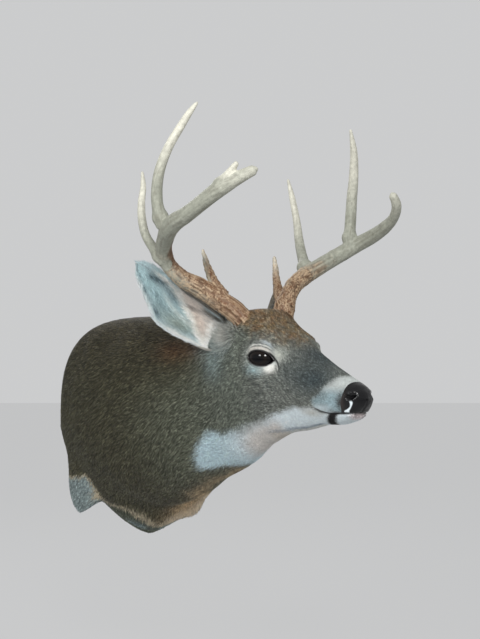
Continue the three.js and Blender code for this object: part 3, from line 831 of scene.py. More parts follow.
# %% The face's colours
def face_colour(head, points):
    """The coat's colour on the head, in the head's own coordinates."""
    x, z = head[..., 0], head[..., 2]
    rough = 8 * (noise(points, 13) - 0.5) + 5 * (noise(points, 5) - 0.5)
    speckle = smooth(0.5, 0.8, noise(points + 60, 4.5)) * spot(head, (-20, 52, -50), (50, 40, 36))
    cap = smooth(-12, 12, z - cap_line(x) + 1.6 * rough) * (1 - smooth(30, 58, x + rough))
    cap = cap * mix(0.45, 1.0, smooth(0.35, 0.65, noise(points + 77, 3.0)))
    ruddy = smooth(0.45, 0.75, noise(points + 200, 6)) * cap
    pale = smooth(-9, 7, x - pale_rear(z) + rough) * smooth(-1, 1, z - mouth_line(x))
    pale = pale * mix(0.72, 1.0, noise(points + 30, 7))
    pale = pale * (1 - 0.35 * bell(z + 52, 9) * smooth(128, 112, x))
    pale_tint = layered(all_over(PALE_BLUE, head), [
        (paint(220, 226, 224), smooth(-54, -36, z)),
        (WHITE, 0.7 * smooth(-62, -72, z) * smooth(140, 110, x)),
    ])
    wing = smooth(131, 145, x + 0.5 * rough) * bell(z + 60, 13)
    corner = smooth(116, 128, x) * (1 - smooth(146, 152, x)) * bell(z - mouth_line(x) - 1, 4)
    jaw = (1 - smooth(-5, 5, z - jaw_line(x) + 0.5 * rough)) * smooth(-62, -40, x)
    tip = smooth(150, 163, x) * jaw
    front = smooth(157, 161, x) * smooth(-4.5, -2.5, z - mouth_line(x))
    lip_spot = bell(x - (128 + (z + 80) * 1.0), 11) * smooth(2, 0, z - mouth_line(x))
    return layered(all_over(JAW_GREY, head), [
        (FACE_GREY, smooth(-70, 0, x)),
        (MUZZLE_DARK, spot(head, (92, 28, -30), (36, 30, 24))),  # the muzzle's sides
        (MUZZLE_DARK * 0.85, 0.95 * spot(head, (78, 0, 4), (50, 30, 28))),  # its bridge
        (MUZZLE_DARK, 0.5 * spot(head, (66, 36, -26), (30, 26, 26))),
        (MUZZLE_DARK, 0.3 * spot(head, (38, 44, -18), (14, 20, 22))),
        (paint(176, 182, 174), 0.45 * spot(head, (30, 40, 6), (13, 16, 12))),
        (MUZZLE_DARK * 0.8, 0.5 * speckle),
        (CAP, 0.9 * cap),
        (FOX * 0.8, 0.5 * spot(head, (-62, 30, 66), (26, 26, 16))),  # round the antlers
        (FOX * 0.7, 0.55 * ruddy),
        (pale_tint, 0.92 * pale),
        (paint(58, 50, 46), 0.9 * wing),
        (LIP_BLACK, 0.8 * corner),
        (WHITE, jaw),
        (paint(178, 172, 158), 0.6 * spot(head, (84, 26, -80), (22, 18, 7))),
        (paint(214, 178, 174), 0.75 * tip),
        (LIP_BLACK, front),
        (LIP_BLACK, smooth(0.3, 0.75, lip_spot + 0.015 * rough)),
    ])


# %% Colours round the eyes
def eye_colour(head, colour):
    """The pale rings round the eyes, the dark rims, the dark crease ahead of each, and painted shade
    in the folds of the upper lids.
    """
    for side in (-1, 1):
        u, v, height = in_eye_frame(head, side)
        near = height > EYE_ZONE - 5
        gap = lid_gap(u, v)
        upper = smooth(-3, 6, v)
        streaky = 0.8 + 0.9 * (noise(head * np.array([0.7, 1, 1.5]), 3.4) - 0.5)
        ring = bell(gap - 4.5, mix(6.5, 8.0, upper)) * mix(0.22, 1.0, smooth(-25, 2, u))
        ahead = np.exp(-(((u - 31) / 10) ** 2) - ((v - 9) / 10) ** 2)
        behind = np.exp(-(((u + 9) / 15) ** 2) - ((v + 20) / 8) ** 2)
        patch = np.exp(-((((u - 20) / 12.5) ** 2 + ((v + 13) / 8.5) ** 2) ** 2))
        band = bell(gap - 4.0, 2.6) * upper * smooth(26, 12, np.abs(u + 2))
        streak = bell(gap - 8.8, 1.3) * upper * smooth(25, 10, np.abs(u + 2))
        above = bell(gap - 13.5, 2.6) * upper * smooth(-6, 4, u) * smooth(28, 16, u)
        # Painted shade along the creases of the upper lid, where set_lids folds the skin.
        fold = bell(gap - 6.7, 0.9) + 0.7 * bell(gap - 11.0, 0.9)
        duct = bell(duct_distance(u, v), mix(1.3, 2.6, smooth(-14, 2, v)))
        colour = layered(colour, [
            (paint(206, 212, 208), 0.85 * ring * streaky * near),
            (paint(220, 222, 212), 0.9 * ahead * streaky * near),
            (paint(168, 194, 198), 0.7 * behind * streaky * near),
            (WARM_WHITE * 1.1, patch * near),
            (paint(232, 226, 218), 0.8 * band * near),
            (WARM_WHITE * 1.1, streak * mix(0.7, 1.0, streaky) * near),
            (paint(206, 216, 222), 0.75 * above * streaky * near),
            (MUZZLE_DARK * 0.6, 0.8 * fold * upper * smooth(25, 10, np.abs(u)) * near),
            (LIP_BLACK, 0.97 * duct * near),
            (LIP_BLACK, (1 - smooth(0.2, 1.6, gap)) * near),
        ])
    return colour


# %% All the markings together
def coat_colour(s, angle, points):
    """What colour grows at a point: body, then head, then the bib, the lips and the eyes.

    Under the jaws the bib gets a darker, warmer tint that is painted shade, and a blue-grey
    line along each side of the jaws' underside is a painted shadow.
    """
    under = from_below(angle)
    head = to_head(points)
    x, across, z = head[..., 0], np.abs(head[..., 1]), head[..., 2]
    in_head = smooth(405, 470, s + 18 * (noise(points, 20) - 0.5))
    in_ear = blend(all_over(EAR_INSIDE, head), EAR_CREAM, smooth(14, 34, z))
    behind_ear = spot(head, (-158, 62, 18), (24, 30, 16)) + spot(head, (-215, 75, 8), (42, 40, 18))
    # Painted shade: the bib is darker and warmer under the jaws, where less light falls.
    painted_throat_shade = smooth(26, 10, under) * smooth(430, 470, s) * (1 - smooth(560, 590, s))
    bib = layered(all_over(BIB_BLUE, points), [
        (WHITE, smooth(400, 470, s) * smooth(50, 20, under)),
        (THROAT_SHADE_TINT, 0.8 * painted_throat_shade),
    ])
    chin_line = 10.5 + 11 * smooth(10, -30, x)
    beneath = smooth(-86, -92, z) * smooth(-36, -18, x) * smooth(104, 84, x)
    lips = bell(z - mouth_line(x), 1.6) * smooth(84, 94, x) * (s > 480)
    colour = layered(body_colour(s, angle, points), [
        (face_colour(head, points), in_head),
        (paint(156, 172, 168), 0.85 * spot(head, (-120, 58, 26), (30, 26, 30))),  # round the ear
        (in_ear, 0.9 * spot(head, (-150, 52, 32), (18, 24, 22))),
        (paint(140, 158, 158), 0.65 * spot(head, (-108, 66, -10), (20, 26, 26))),  # under it
        (FOX * 0.8, 0.5 * behind_ear),
        # The dark spot ahead of the ear is dark hair and painted shadow between the ear and the
        # antler.
        (paint(64, 72, 74), 0.7 * spot(head, (-92, 54, 42), (16, 16, 12))),  # ahead of it
        (bib, throat_share(s, angle, points)),
        (CHIN_TAN, 0.5 * beneath * smooth(0, -2.5, across - chin_line)),
        (CHIN_SHADE, 0.75 * beneath * bell(across - chin_line, 1.9)),
        (LIP_BLACK, lips),
    ])
    return eye_colour(head, colour)


skin_colour = coat_colour(ring_s, ring_angle, skin_grid)
print("skin colours", skin_colour.shape, "mean", skin_colour.mean((0, 1)).round(3))

# %% [markdown]
# ## The skin
#
# The grid alone is open at the wall. There the hide is folded flat behind the form as far as
# the board, then runs in front of the board to a middle point, so the piece is closed and the
# board sits in its recess. This one piece replaces trunk, neck, head, jaw and leg stumps, so
# that no seam shows where the CAD model is parted.

# %% The skin, closed behind
BOARD_INSET = 24  # the board's edge is this far inside the form's
BOARD_REACH = 205  # the form's edge counts no farther out than this
HIDE_FRONT, HIDE_BACK = 18.6, 3.2  # where the hide lies before and beside the board
HIDE_TAN = paint(176, 160, 128)
edge_reach = np.minimum(reach_of(0.0, skin_angle), BOARD_REACH) - BOARD_INSET + 0.3


def back_ring(depth):
    """A ring round the board's edge, at a distance in front of the wall."""
    across, upward = edge_reach * np.sin(skin_angle), edge_reach * np.cos(skin_angle)
    return np.stack([across, np.full(SKIN_COLUMNS, -depth), upward + widest_at(0.0)], -1)


back_rings = np.stack([back_ring(HIDE_FRONT), back_ring(HIDE_BACK)])
skin_shell, skin_faces = closed_grid(np.concatenate([back_rings, skin_grid]))
hide_back = np.tile(HIDE_TAN, (2 * SKIN_COLUMNS, 1))
ends = np.stack([HIDE_TAN, skin_colour[-1].mean(0)])
shell_colour = np.concatenate([hide_back, skin_colour.reshape(-1, 3), ends])
skin = new_piece("skin", skin_shell, outward(skin_shell, skin_faces), hide_finish, shell_colour)
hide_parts("trunk", "neck", "head", "lower_jaw", "foreleg_right", "foreleg_left")

# %% [markdown]
# ## The eyes
#
# A glass eye is a ball of dark brown with a wide, level pupil. It could be two shells, a clear
# one over a painted one, but at this size one glossy ball with its iris painted on its points
# looks the same and stays simple. Its pole points straight out of the head, so that the rings
# of the grid run round the iris.

# %% The eyeballs
IRIS_BROWN = paint(20, 14, 10)
IRIS_RIM = paint(9, 8, 8)
PUPIL = paint(5, 5, 7)
SIDES = (("right", -1), ("left", 1))


def eyeball(side):
    """A sphere about a point behind the lids, by the angle from its pole and round it."""
    axes, middle = eye_frame(side)
    polar = np.linspace(0.01, np.pi - 0.01, 72)
    polar, round_it = np.meshgrid(polar, once_round(96), indexing="ij")
    flat = [np.sin(polar) * np.cos(round_it), np.sin(polar) * np.sin(round_it)]
    local = EYE_RADIUS * np.stack([*flat, np.cos(polar)], -1) * np.array([EYE_STRETCH, 1, 1])
    centre = middle - EYE_DEPTH * axes[2] - EYE_SHIFT * axes[0]
    points, triangles = closed_grid(centre + local @ axes)
    u, v = local[..., 0] / EYE_STRETCH, local[..., 1]
    iris = blend(all_over(IRIS_BROWN, local), IRIS_RIM, smooth(10, 14, np.hypot(u, v)))
    colour = blend(iris, PUPIL, 1 - smooth(0.8, 1.1, np.hypot(u / 9.5, v / 6.5)))
    ends = np.stack([PUPIL, IRIS_RIM])
    return from_head(points), triangles, np.concatenate([colour.reshape(-1, 3), ends])


for name, side in SIDES:
    points, triangles, colour = eyeball(side)
    eye = new_piece(f"eyeball_{name}", points, outward(points, triangles), eye_finish, colour)
    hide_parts(f"eye_{name}")


# %% A tube along a path
def tube(path, radius, sides):
    """A closed round tube: a circle carried along a path of points, with a radius for each."""
    tangent = unit(np.gradient(path, axis=0))
    start = np.cross(tangent[0], UP)
    side = [unit(start if np.linalg.norm(start) > 0.1 else np.cross(tangent[0], LEFT))]
    for step in tangent[1:]:
        side.append(unit(side[-1] - step * (side[-1] @ step)))
    side = np.array(side)
    other = np.cross(tangent, side)
    turn = once_round(sides)
    ring = side[:, None] * np.cos(turn)[:, None] + other[:, None] * np.sin(turn)[:, None]
    points, triangles = closed_grid(path[:, None] + ring * np.asarray(radius)[:, None, None])
    return points, outward(points, triangles)


def joined(parts):
    """Several (points, triangles) pairs as one."""
    offsets = np.cumsum([0] + [len(points) for points, _ in parts[:-1]])
    triangles = [faces + offset for (_, faces), offset in zip(parts, offsets)]
    return np.concatenate([points for points, _ in parts]), np.concatenate(triangles)


# %% [markdown]
# The lids end in a wet black edge that hugs the eyeball. It is a thin tube along the opening's
# edge, and it also hides where the skin's grid dips under the ball.

# %% The rims of the lids
def lid_rim(side):
    """Once round the opening: rays from its middle, each as long as brings its gap to 0.

    The length is found by steps: each takes away a little of the gap that is left.
    """
    axes, middle = eye_frame(side)
    turn = np.linspace(np.pi, -np.pi, 140)
    ahead, across = EYE_LENGTH * np.cos(turn), 12 * np.sin(turn)
    share = np.ones(len(turn))
    for _ in range(12):
        share = share - 0.06 * lid_gap(share * ahead, share * across)
    u, v = share * ahead, share * across
    path = np.stack([u, v, eye_bed(u, v) + 0.9], -1)
    width = np.where(path[:, 1] > 0, 1.5, 1.1)
    return tube(from_head(middle + path @ axes), width, 8)


rims = joined([lid_rim(side) for side in (-1, 1)])
lid_colour = np.tile(paint(22, 19, 18), (len(rims[0]), 1))
lid_rims = new_piece("lid_rims", rims[0], rims[1], lid_finish, lid_colour)

# %% [markdown]
# ## The nose
#
# The nose pad is bare, wet and pebbled like leather. It follows the same sections as the skin,
# a little proud of it, from behind the nostrils to the tip, and ends below at the mouth line.
# The nostrils are bells pressed deep into it, each with a raised rim, and a shallow groove
# runs down its middle. The lip under each nostril is white hair, which is painted here.

# %% The nose pad
PAD_REAR = 139.5
PAD_START = 670  # the pad's grid begins here along the form
NOSTRIL_X, NOSTRIL_Z = 164.5, -51.5


def nose_point(s, angle):
    """The form's own section, not allowed below the mouth line, with nostrils pressed in.

    A nostril is a tilted oval hole with a slit behind it, and a raised rim round both.
    """
    reach = reach_of(s, angle)
    across, upward = np.sin(angle), np.cos(angle)
    x = s - NECK_LENGTH + NAPE_X
    z = widest_at(s) + reach * upward - EYE_LEVEL
    y = reach * across
    rear = PAD_REAR + pad_shift(z)
    reach = reach + face_push(x, y, z) + 0.3 - 3.4 * (1 - smooth(0, 6.5, x - rear))
    side_x, side_z = x - NOSTRIL_X, z - NOSTRIL_Z
    slant = side_z * 0.94 - side_x * 0.34
    along = side_x * 0.94 + side_z * 0.34
    hole = np.exp(-((along / 4.6) ** 2) - (slant / 3.3) ** 2)
    slit = np.exp(-(((side_x + 6.5) / 5.5) ** 2) - ((side_z + 1.5 + 0.25 * side_x) / 1.7) ** 2)
    rim = np.exp(-((np.hypot(along / 1.35, slant) - 6.2) / 1.8) ** 2)
    out_side = smooth(6, 12, np.abs(y))
    reach = reach + out_side * (-8.5 * hole - 3.5 * slit * smooth(8, 14, np.abs(y)) + 1.0 * rim)
    reach = reach - 1.6 * bell(y, 1.8) * smooth(-46, -58, z)
    height = reach * upward + widest_at(s) - EYE_LEVEL
    floor = mouth_line(x) + 0.8
    height = floor + 3 * np.logaddexp(0, (height - floor) / 3 * 2.2) / 2.2
    return from_head(np.stack([blunt(x), reach * across, height], -1))


def pad_ring_density(s):
    """Rings lie closer towards the tip."""
    return 1 + 0.6 * smooth(PAD_START, PAD_START + 20, s)


def pad_column_density(angle):
    """Columns lie closer at the nostrils."""
    return 1 + 1.2 * bell(np.abs(turn_of(angle)) - 1.4, 0.5)


nose_s = spread(pad_ring_density, PAD_START, FORM_LENGTH, 96)
nose_angle = spread(pad_column_density, 0, 2 * np.pi, 225)[:-1]
nose_ring, nose_turn = np.meshgrid(nose_s, nose_angle, indexing="ij")
nose_grid = nose_point(nose_ring, nose_turn)


def nose_colour(points):
    """Black, browner at the wings, with the white haired lip under each nostril."""
    head = to_head(points)
    x, y, z = np.moveaxis(head, -1, 0)
    wing = spot(head, (145, 23, -58), (8, 12, 14))
    colour = blend(all_over(paint(12, 12, 14), points), paint(56, 48, 44), wing)
    down = np.clip((-60 - z) / 12, 0, 1.1)
    hollow = 9.0 * down**3
    front = 6.5 * down**1.5
    lip = smooth(-0.7, 0.7, x - 162.6 + hollow) * smooth(1.0, -0.2, x - 165.0 + front)
    lip = lip * smooth(-57, -60, z)
    lip = lip * smooth(6, 9, np.abs(y)) * smooth(-76, -74, z)
    return blend(colour, WHITE, lip)


nose_points, nose_faces = closed_grid(nose_grid)
nose_tints = nose_colour(nose_points)
nose = new_piece("nose_pad", nose_points, outward(nose_points, nose_faces), nose_finish, nose_tints)
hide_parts("nose")

# %% [markdown]
# ## The ears
#
# An ear is a leaf of gristle with hide on both sides, rolled into a tube at its base. Its width
# on either side of its axis and how far it is rolled are curves of the distance from the base.
# Going once round each section takes in the back, the outer edge, the inside and the inner
# edge, so the ear is one closed surface with rounded edges and no separate wall thickness.

# %% The ear as a function of two parameters
EAR_LENGTH = 183
EAR_BASE = np.array([-104.0, 58.0, 36.0])
# the leaf's width to either side of its axis and its roll, by the share of the length
outer_edge = through([
    [-0.06, 30], [0.05, 38], [0.15, 43], [0.35, 53], [0.52, 56],
    [0.7, 42], [0.85, 27], [0.95, 17], [1, 6],
])
inner_edge = through(
    [[0, 18], [0.1, 22], [0.3, 23], [0.45, 20.5], [0.65, 20], [0.85, 17], [0.95, 13], [1, 6]]
)
ear_wrap = through([[0, 2.1], [0.15, 1.6], [0.35, 1.15], [0.7, 0.85], [1, 0.5]])

# side, then the tip and the way the opening faces, in the head's frame
EARS = {
    "right": (-1, np.array([-204.0, -160.0, 152.0]), np.array([0.78, -0.62, 0.0])),
    "left": (1, np.array([-232.0, 158.0, 110.0]), np.array([0.6, 0.8, 0.0])),
}


def ear_frame(ear):
    """Where an ear's axis starts, its direction, and the way inward that is square to it."""
    side, tip, opening = ear
    start = EAR_BASE * np.array([1, side, 1])
    axis = unit(tip - start)
    return start, axis, unit(opening - axis * (opening @ axis))


def ear_point(ear, a, turn):
    """a runs from base to tip and turn goes round the section: 0 to pi is the ear's back.

    The place across the leaf is minus the cosine of turn. The wall's half thickness is the
    sine of turn, so that it thins to a rounded edge, with gristle ridges on the inside.
    """
    base, axis, inward = ear_frame(ear)
    outer = np.cross(axis, inward) * ear[0]
    across = -np.cos(turn)
    wall = np.sin(turn) * 1.7
    inside = np.sin(turn) < 0
    ridge = np.cos(across * 11 + 1.2 * a) * (1 - across**2)
    ridge = ridge * smooth(0, 0.25, a) * (1 - smooth(0.5, 0.9, a))
    wall = wall - np.where(inside, 0.7 * ridge, 0)
    half = (outer_edge(a) + inner_edge(a)) / 2 - 0.8
    shift = (outer_edge(a) - inner_edge(a)) / 2
    wrap = ear_wrap(a)
    r = half / np.sin(np.minimum(wrap, np.pi / 2))
    depth = r * (np.cos(wrap * across) - np.cos(wrap)) * 0.75
    roll = 3.5 * smooth(0.8, 1.0, np.abs(across)) * np.sin(np.pi * np.clip(a, 0, 1))
    sideways = shift + (r + wall) * np.sin(wrap * across)
    backwards = depth + wall * np.cos(wrap * across) + 4 * np.sin(np.pi * a)
    backwards = backwards - roll * np.where(across < 0, 0.8, 0.2)
    point = base + axis * (EAR_LENGTH * a)[..., None]
    return from_head(point + outer * sideways[..., None] - inward * backwards[..., None])


# %% The ear's colours
# places inside painted in shade: how strong, then middle and reach across the ear, and the same along
# it
EAR_SHADES = [
    (0.6, -0.25, 0.16, 0.54, 0.1),
    (0.5, 0.3, 0.2, 0.62, 0.16),
    (0.9, 0.8, 0.1, 0.78, 0.04),
    (0.8, 0.71, 0.13, 0.57, 0.06),
]


def ear_colour(a, turn, points):
    """Grey-brown behind; inside blue-grey, paler towards the edges, cream along the base.

    Shade is painted in the hollows inside, and a painted shadow of the antler darkens the
    inner edge on both sides over its lower part.
    """
    across = -np.cos(turn)
    inside = smooth(0.15, -0.15, np.sin(turn))
    back = layered(all_over(EAR_BACK, points), [
        (BACK, 0.6 * smooth(0.55, 1.0, a)),
        (WARM_WHITE, 0.5 * smooth(0.4, 0.0, a) * smooth(0.2, 0.9, across)),
        # painted shadow of the antler on the back of the inner edge
        (EAR_DARK_AND_SHADOW, 0.6 * smooth(-0.3, -0.7, across) * smooth(0.55, 0.4, a)),
    ])
    streak = noise(np.stack([across * 9, a * 1.6, 0 * a], -1), 1.0) - 0.5
    vein = bell(across + 0.12 + 2.6 * (0.82 - a), 0.2) * smooth(0.6, 0.68, a) * smooth(0.9, 0.8, a)
    shades = []
    for strong, middle, wide, height, tall in EAR_SHADES:
        shades.append((EAR_STREAK_AND_SHADE, strong * bell(across - middle, wide) * bell(a - height, tall)))
    stripe = bell(across + 0.02 - 0.75 * (0.57 - a), 0.09)
    stripe = stripe * smooth(0.7, 0.55, a) * smooth(0.1, 0.25, a)
    band = bell(across + 0.66 - 2.2 * np.maximum(0.58 - a, 0), 0.12)
    hair_edge = across + 0.45 - 2.9 * np.maximum(0.49 - a, 0)
    hairy = smooth(0.12, -0.12, hair_edge + 0.2 * streak) * smooth(0.58, 0.48, a)
    umber = smooth(0.02, 0.26, streak) * smooth(-0.1, -0.3, hair_edge) * smooth(0.15, 0.27, a)
    speck = smooth(0.55, 0.75, noise(points + 30, 4.5)) * smooth(0.82, 0.92, a)
    # Painted shadow of the antler along the inside of the inner edge.
    shade_edge = -0.84 + 0.42 * smooth(0.3, 0.16, a)
    shaded = smooth(0.14, -0.1, across - shade_edge + 0.4 * streak) * smooth(0.68, 0.6, a)
    inner = layered(all_over(EAR_INSIDE, points), [
        (EAR_STREAK_AND_SHADE, 0.4 * smooth(0.0, 0.35, streak)),
        (EAR_THIN, 0.85 * bell(across - 0.42, 0.32) * bell(a - 0.38, 0.2)),
        (EAR_STREAK_AND_SHADE, 0.95 * vein),
        *shades,
        (EAR_CREAM, 0.3 * stripe),
        (EAR_CREAM, 0.97 * band * smooth(0.42, 0.5, a) * smooth(0.86, 0.72, a)),
        (EAR_CREAM, 0.85 * smooth(0.62, 0.95, across) * smooth(0.5, 0.3, a)),
        (EAR_CREAM, 0.5 * smooth(0.84, 0.98, across)),
        (EAR_CREAM, 0.97 * hairy),
        (EAR_PINK, 0.75 * hairy * smooth(-0.12, -0.4, hair_edge) * smooth(0.05, 0.16, a)),
        (EAR_UMBER, 0.75 * umber * hairy),
        (EAR_STREAK_AND_SHADE, 0.6 * speck),
        (EAR_DARK_AND_SHADOW, 0.8 * shaded),
        (EAR_INSIDE, 0.45 * shaded * smooth(0.0, 0.22, streak)),
    ])
    edge = smooth(0.93, 1.0, np.abs(across)) * (a > 0.1)
    at_base = smooth(0, -0.5, across) * smooth(0.55, 0.45, a)
    colour = mix(back, inner, inside[..., None])
    return blend(colour, WHITE, 0.6 * edge * mix(1.0, 0.0, at_base))


# %% The two ears
ear_grids = {}
ear_a, ear_turn = np.meshgrid(np.linspace(-0.06, 1, 110), once_round(160), indexing="ij")
for name, ear in EARS.items():
    grid = ear_point(ear, ear_a, ear_turn)
    colour = ear_colour(np.clip(ear_a, 0, 1), ear_turn, grid)
    ear_grids[name] = (grid, colour)
    points, triangles = closed_grid(grid)
    ends = np.stack([colour[0].mean(0), colour[-1].mean(0)])
    tints = np.concatenate([colour.reshape(-1, 3), ends])
    piece = new_piece(f"ear_leaf_{name}", points, outward(points, triangles), ear_finish, tints)
    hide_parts(f"ear_{name}")

# %% [markdown]
# ## The antlers
#
# An antler is bone, thick at its burr, with tines that grow out of one curved beam. Each is
# swept as a tapering tube along a smooth path. Where tubes meet, real bone is webbed, so the
# tubes are fused by a voxel remesh, which is Blender's quick way to one clean closed surface,
# and then relief is added: long grooves that follow each tine, and pearls near the burr.

# %% The antlers' paths
# ahead, outward, up and radius in the head's frame, in millimetres
ANTLERS = {
    "right": {
        "beam": [
            [-64, 38, 54, 15], [-79, 53.5, 75, 16.4], [-95, 73.5, 92.8, 16],
            [-113, 100, 113.2, 15], [-126, 124.6, 128, 13.2], [-133, 146, 151, 12.3],
            [-119, 163, 174, 12.8], [-94, 176, 188, 13.2], [-61, 191, 200, 14],
            [-33, 197, 209, 13.2], [-3, 198, 217, 12], [32, 195, 232, 11.5], [64, 185, 251, 12],
            [88, 170, 265, 9.5], [107, 150, 278, 7],
        ],
        "brow": [
            [-94, 67, 98, 13], [-103, 72, 112, 10], [-112, 74, 128, 7.2], [-120, 76, 144, 5.6],
            [-127, 77, 160, 3.8], [-134, 78, 176, 2],
        ],
        "second": [
            [-130, 154, 151, 9], [-146, 163, 173, 7.8], [-160, 171, 197, 7],
            [-168, 173, 224, 6.6], [-174, 170, 251, 5.8], [-180, 163, 277, 4.7],
            [-188, 160, 304, 2],
        ],
        "third": [
            [-69, 197, 202, 9.5], [-69, 208, 242, 8.8], [-62, 209, 283, 8], [-51, 199, 322, 6.9],
            [-38, 183, 357, 6], [-29, 175, 375, 4.8], [-20, 166, 391, 2],
        ],
        "kicker": [
            [50, 188, 248, 7.5], [67, 183, 262, 6.4], [80, 177, 276, 5.2], [89, 173, 287, 3.4],
        ],
    },
    "left": {
        "beam": [
            [-66, 38, 56, 14], [-74, 47, 80, 17], [-78, 60, 102, 13.2], [-84, 78, 120, 13.5],
            [-86, 105, 137, 14.5], [-83, 133, 152, 13.8], [-80, 168, 170, 13.6],
            [-63, 197, 189, 12.8], [-28, 205, 204, 11.8], [9, 199, 217, 10.3],
            [38, 190, 231, 8.2], [60, 174, 249, 7.8], [66, 157, 267, 6],
        ],
        "brow": [
            [-96, 62, 90, 12], [-111, 67, 102, 9.8], [-123, 72, 116, 7.4], [-132, 76, 132, 5.6],
            [-138, 79, 151, 4.4], [-140, 78, 170, 2],
        ],
        "second": [
            [-93, 111, 142, 11], [-123, 128, 167, 9], [-149, 142, 198, 8], [-167, 151, 236, 6.5],
            [-182, 154, 276, 5.4], [-198, 156, 316, 2],
        ],
        "third": [
            [-70, 188, 188, 9.5], [-76, 197, 229, 9.6], [-80, 204, 271, 9.1], [-75, 204, 313, 8],
            [-62, 192, 351, 6.2], [-50, 173, 388, 2],
        ],
    },
}
# how far along the beam each tine leaves it, for its colour
TINE_STARTS = {"beam": 0.0, "brow": 0.12, "second": 0.5, "third": 0.56, "kicker": 0.84}
ANTLER_NODES = ("base", "middle", "tip", "brow_tine", "second_tine", "third_tine")


# %% A smooth path
def smooth_path(rows, count):
    """A centripetal Catmull-Rom curve through the rows, at even steps of its length.

    Between two points it is the cubic whose end slopes come from the neighbours, each spacing
    being the square root of the distance. The radius has its own smooth curve.
    """
    rows = np.array(rows, float)
    p = rows[:, :3]
    p = np.concatenate([[2 * p[0] - p[1]], p, [2 * p[-1] - p[-2]]])
    knot = np.sqrt(np.linalg.norm(np.diff(p, axis=0), axis=1))[:, None]
    chord = np.diff(p, axis=0)
    joint = (p[2:] - p[:-2]) / (knot[1:] + knot[:-1])
    slope = chord[:-1] / knot[:-1] - joint + chord[1:] / knot[1:]
    t = np.linspace(0, len(rows) - 1, 900)
    i = np.clip(t.astype(int), 0, len(rows) - 2)
    f, h = (t - i)[:, None], knot[1:-1][i]
    ends = p[1:-1][i] * (1 + 2 * f) * (1 - f) ** 2 + p[2:][i] * f * f * (3 - 2 * f)
    curve = ends + h * f * (1 - f) * ((1 - f) * slope[i] - f * slope[i + 1])
    radius = through(np.stack([np.arange(len(rows)), rows[:, 3]], -1))(t)
    length = np.concatenate([[0], np.cumsum(np.linalg.norm(np.diff(curve, axis=0), axis=1))])
    even = np.linspace(0, length[-1], count)
    path = np.stack([np.interp(even, length, curve[:, k]) for k in range(3)], -1)
    return path, np.interp(even, length, radius)


# %% Fusing the tubes
VOXEL = 0.0016  # the fused surface's cells, in metres


def triples(items, field, kind):
    """One field of a mesh's vertices or triangles, as rows of three."""
    values = np.empty(len(items) * 3, kind)
    items.foreach_get(field, values)
    return values.reshape(-1, 3)


def fused(name, parts):
    """The tubes as one closed surface: its points, its triangles and its normals."""
    points, triangles = joined(parts)
    tubes = new_piece(name, points, triangles, horn_finish)
    remesh = tubes.modifiers.new("fuse", "REMESH")
    remesh.mode = "VOXEL"
    remesh.voxel_size = VOXEL
    soften = tubes.modifiers.new("soften", "SMOOTH")
    soften.factor = 0.5
    soften.iterations = 5
    graph = bpy.context.evaluated_depsgraph_get()
    mesh = bpy.data.meshes.new_from_object(tubes.evaluated_get(graph))
    mesh.calc_loop_triangles()
    made = triples(mesh.vertices, "co", np.float32).astype(float) / MM
    faces = triples(mesh.loop_triangles, "vertices", np.int32)
    normals = triples(mesh.vertices, "normal", np.float32).astype(float)
    bpy.data.objects.remove(tubes)
    return made, faces, normals


def nearest(points, path):
    """For each point, the number of the nearest point of a path, in slices to save memory."""
    found = []
    for part in np.array_split(points, 40):
        found.append(((part[:, None] - path[None]) ** 2).sum(-1).argmin(1))
    return np.concatenate(found)


# %% Tines and their colours
HORN_BASE = paint(108, 74, 48)
HORN_PEARL = paint(190, 166, 136)
HORN_DARK = paint(70, 54, 38)
HORN_MID = paint(150, 152, 139)
HORN_TIP = paint(208, 206, 192)
BEAM_STEPS, TINE_STEPS, TUBE_SIDES = 150, 70, 28
STAINS = {"right": 0.25, "left": 0.09}  # how much browner each antler is on its inner side
ASIDE = np.array([0.31, 0.2, 0.93])  # no tine comes within 11 degrees of this direction


def tine_tubes(side, antler):
    """A tube for each tine, and all their paths' points with what the colour needs there.

    That is the point, the direction, the radius, the share of the antler's length from its
    burr, and how worn and bright the bone is. Upper tines are webbed where they leave the beam.
    """
    lines, tubes = [], []
    for tine, rows in antler.items():
        rows = np.array(rows, float) * np.array([1, side, 1, 1])
        path, radius = smooth_path(rows, BEAM_STEPS if tine == "beam" else TINE_STEPS)
        path = from_head(path)
        ahead = unit(np.gradient(path, axis=0))
        even = np.linspace(0, 1, len(path))
        along = even * np.linalg.norm(np.diff(path, axis=0), axis=1).sum()
        web = 0 if tine in ("beam", "brow") else 0.4 * bell(along - 16, 9)
        width = (radius + 0.3) * (1 + web) * (1 - 0.7 * smooth(0.985, 1, even))
        tubes.append(tube(path, width, TUBE_SIDES))
        share = TINE_STARTS[tine] + even * (1 if tine == "beam" else 0.1)
        bright = smooth(0.45, 1.0, even) if tine == "brow" else smooth(0.2, 0.75, even)
        bright = 0.5 * smooth(0.8, 1, even) if tine == "beam" else bright
        lines.append(np.column_stack([path, ahead, radius, share, bright]))
    return np.concatenate(lines), tubes


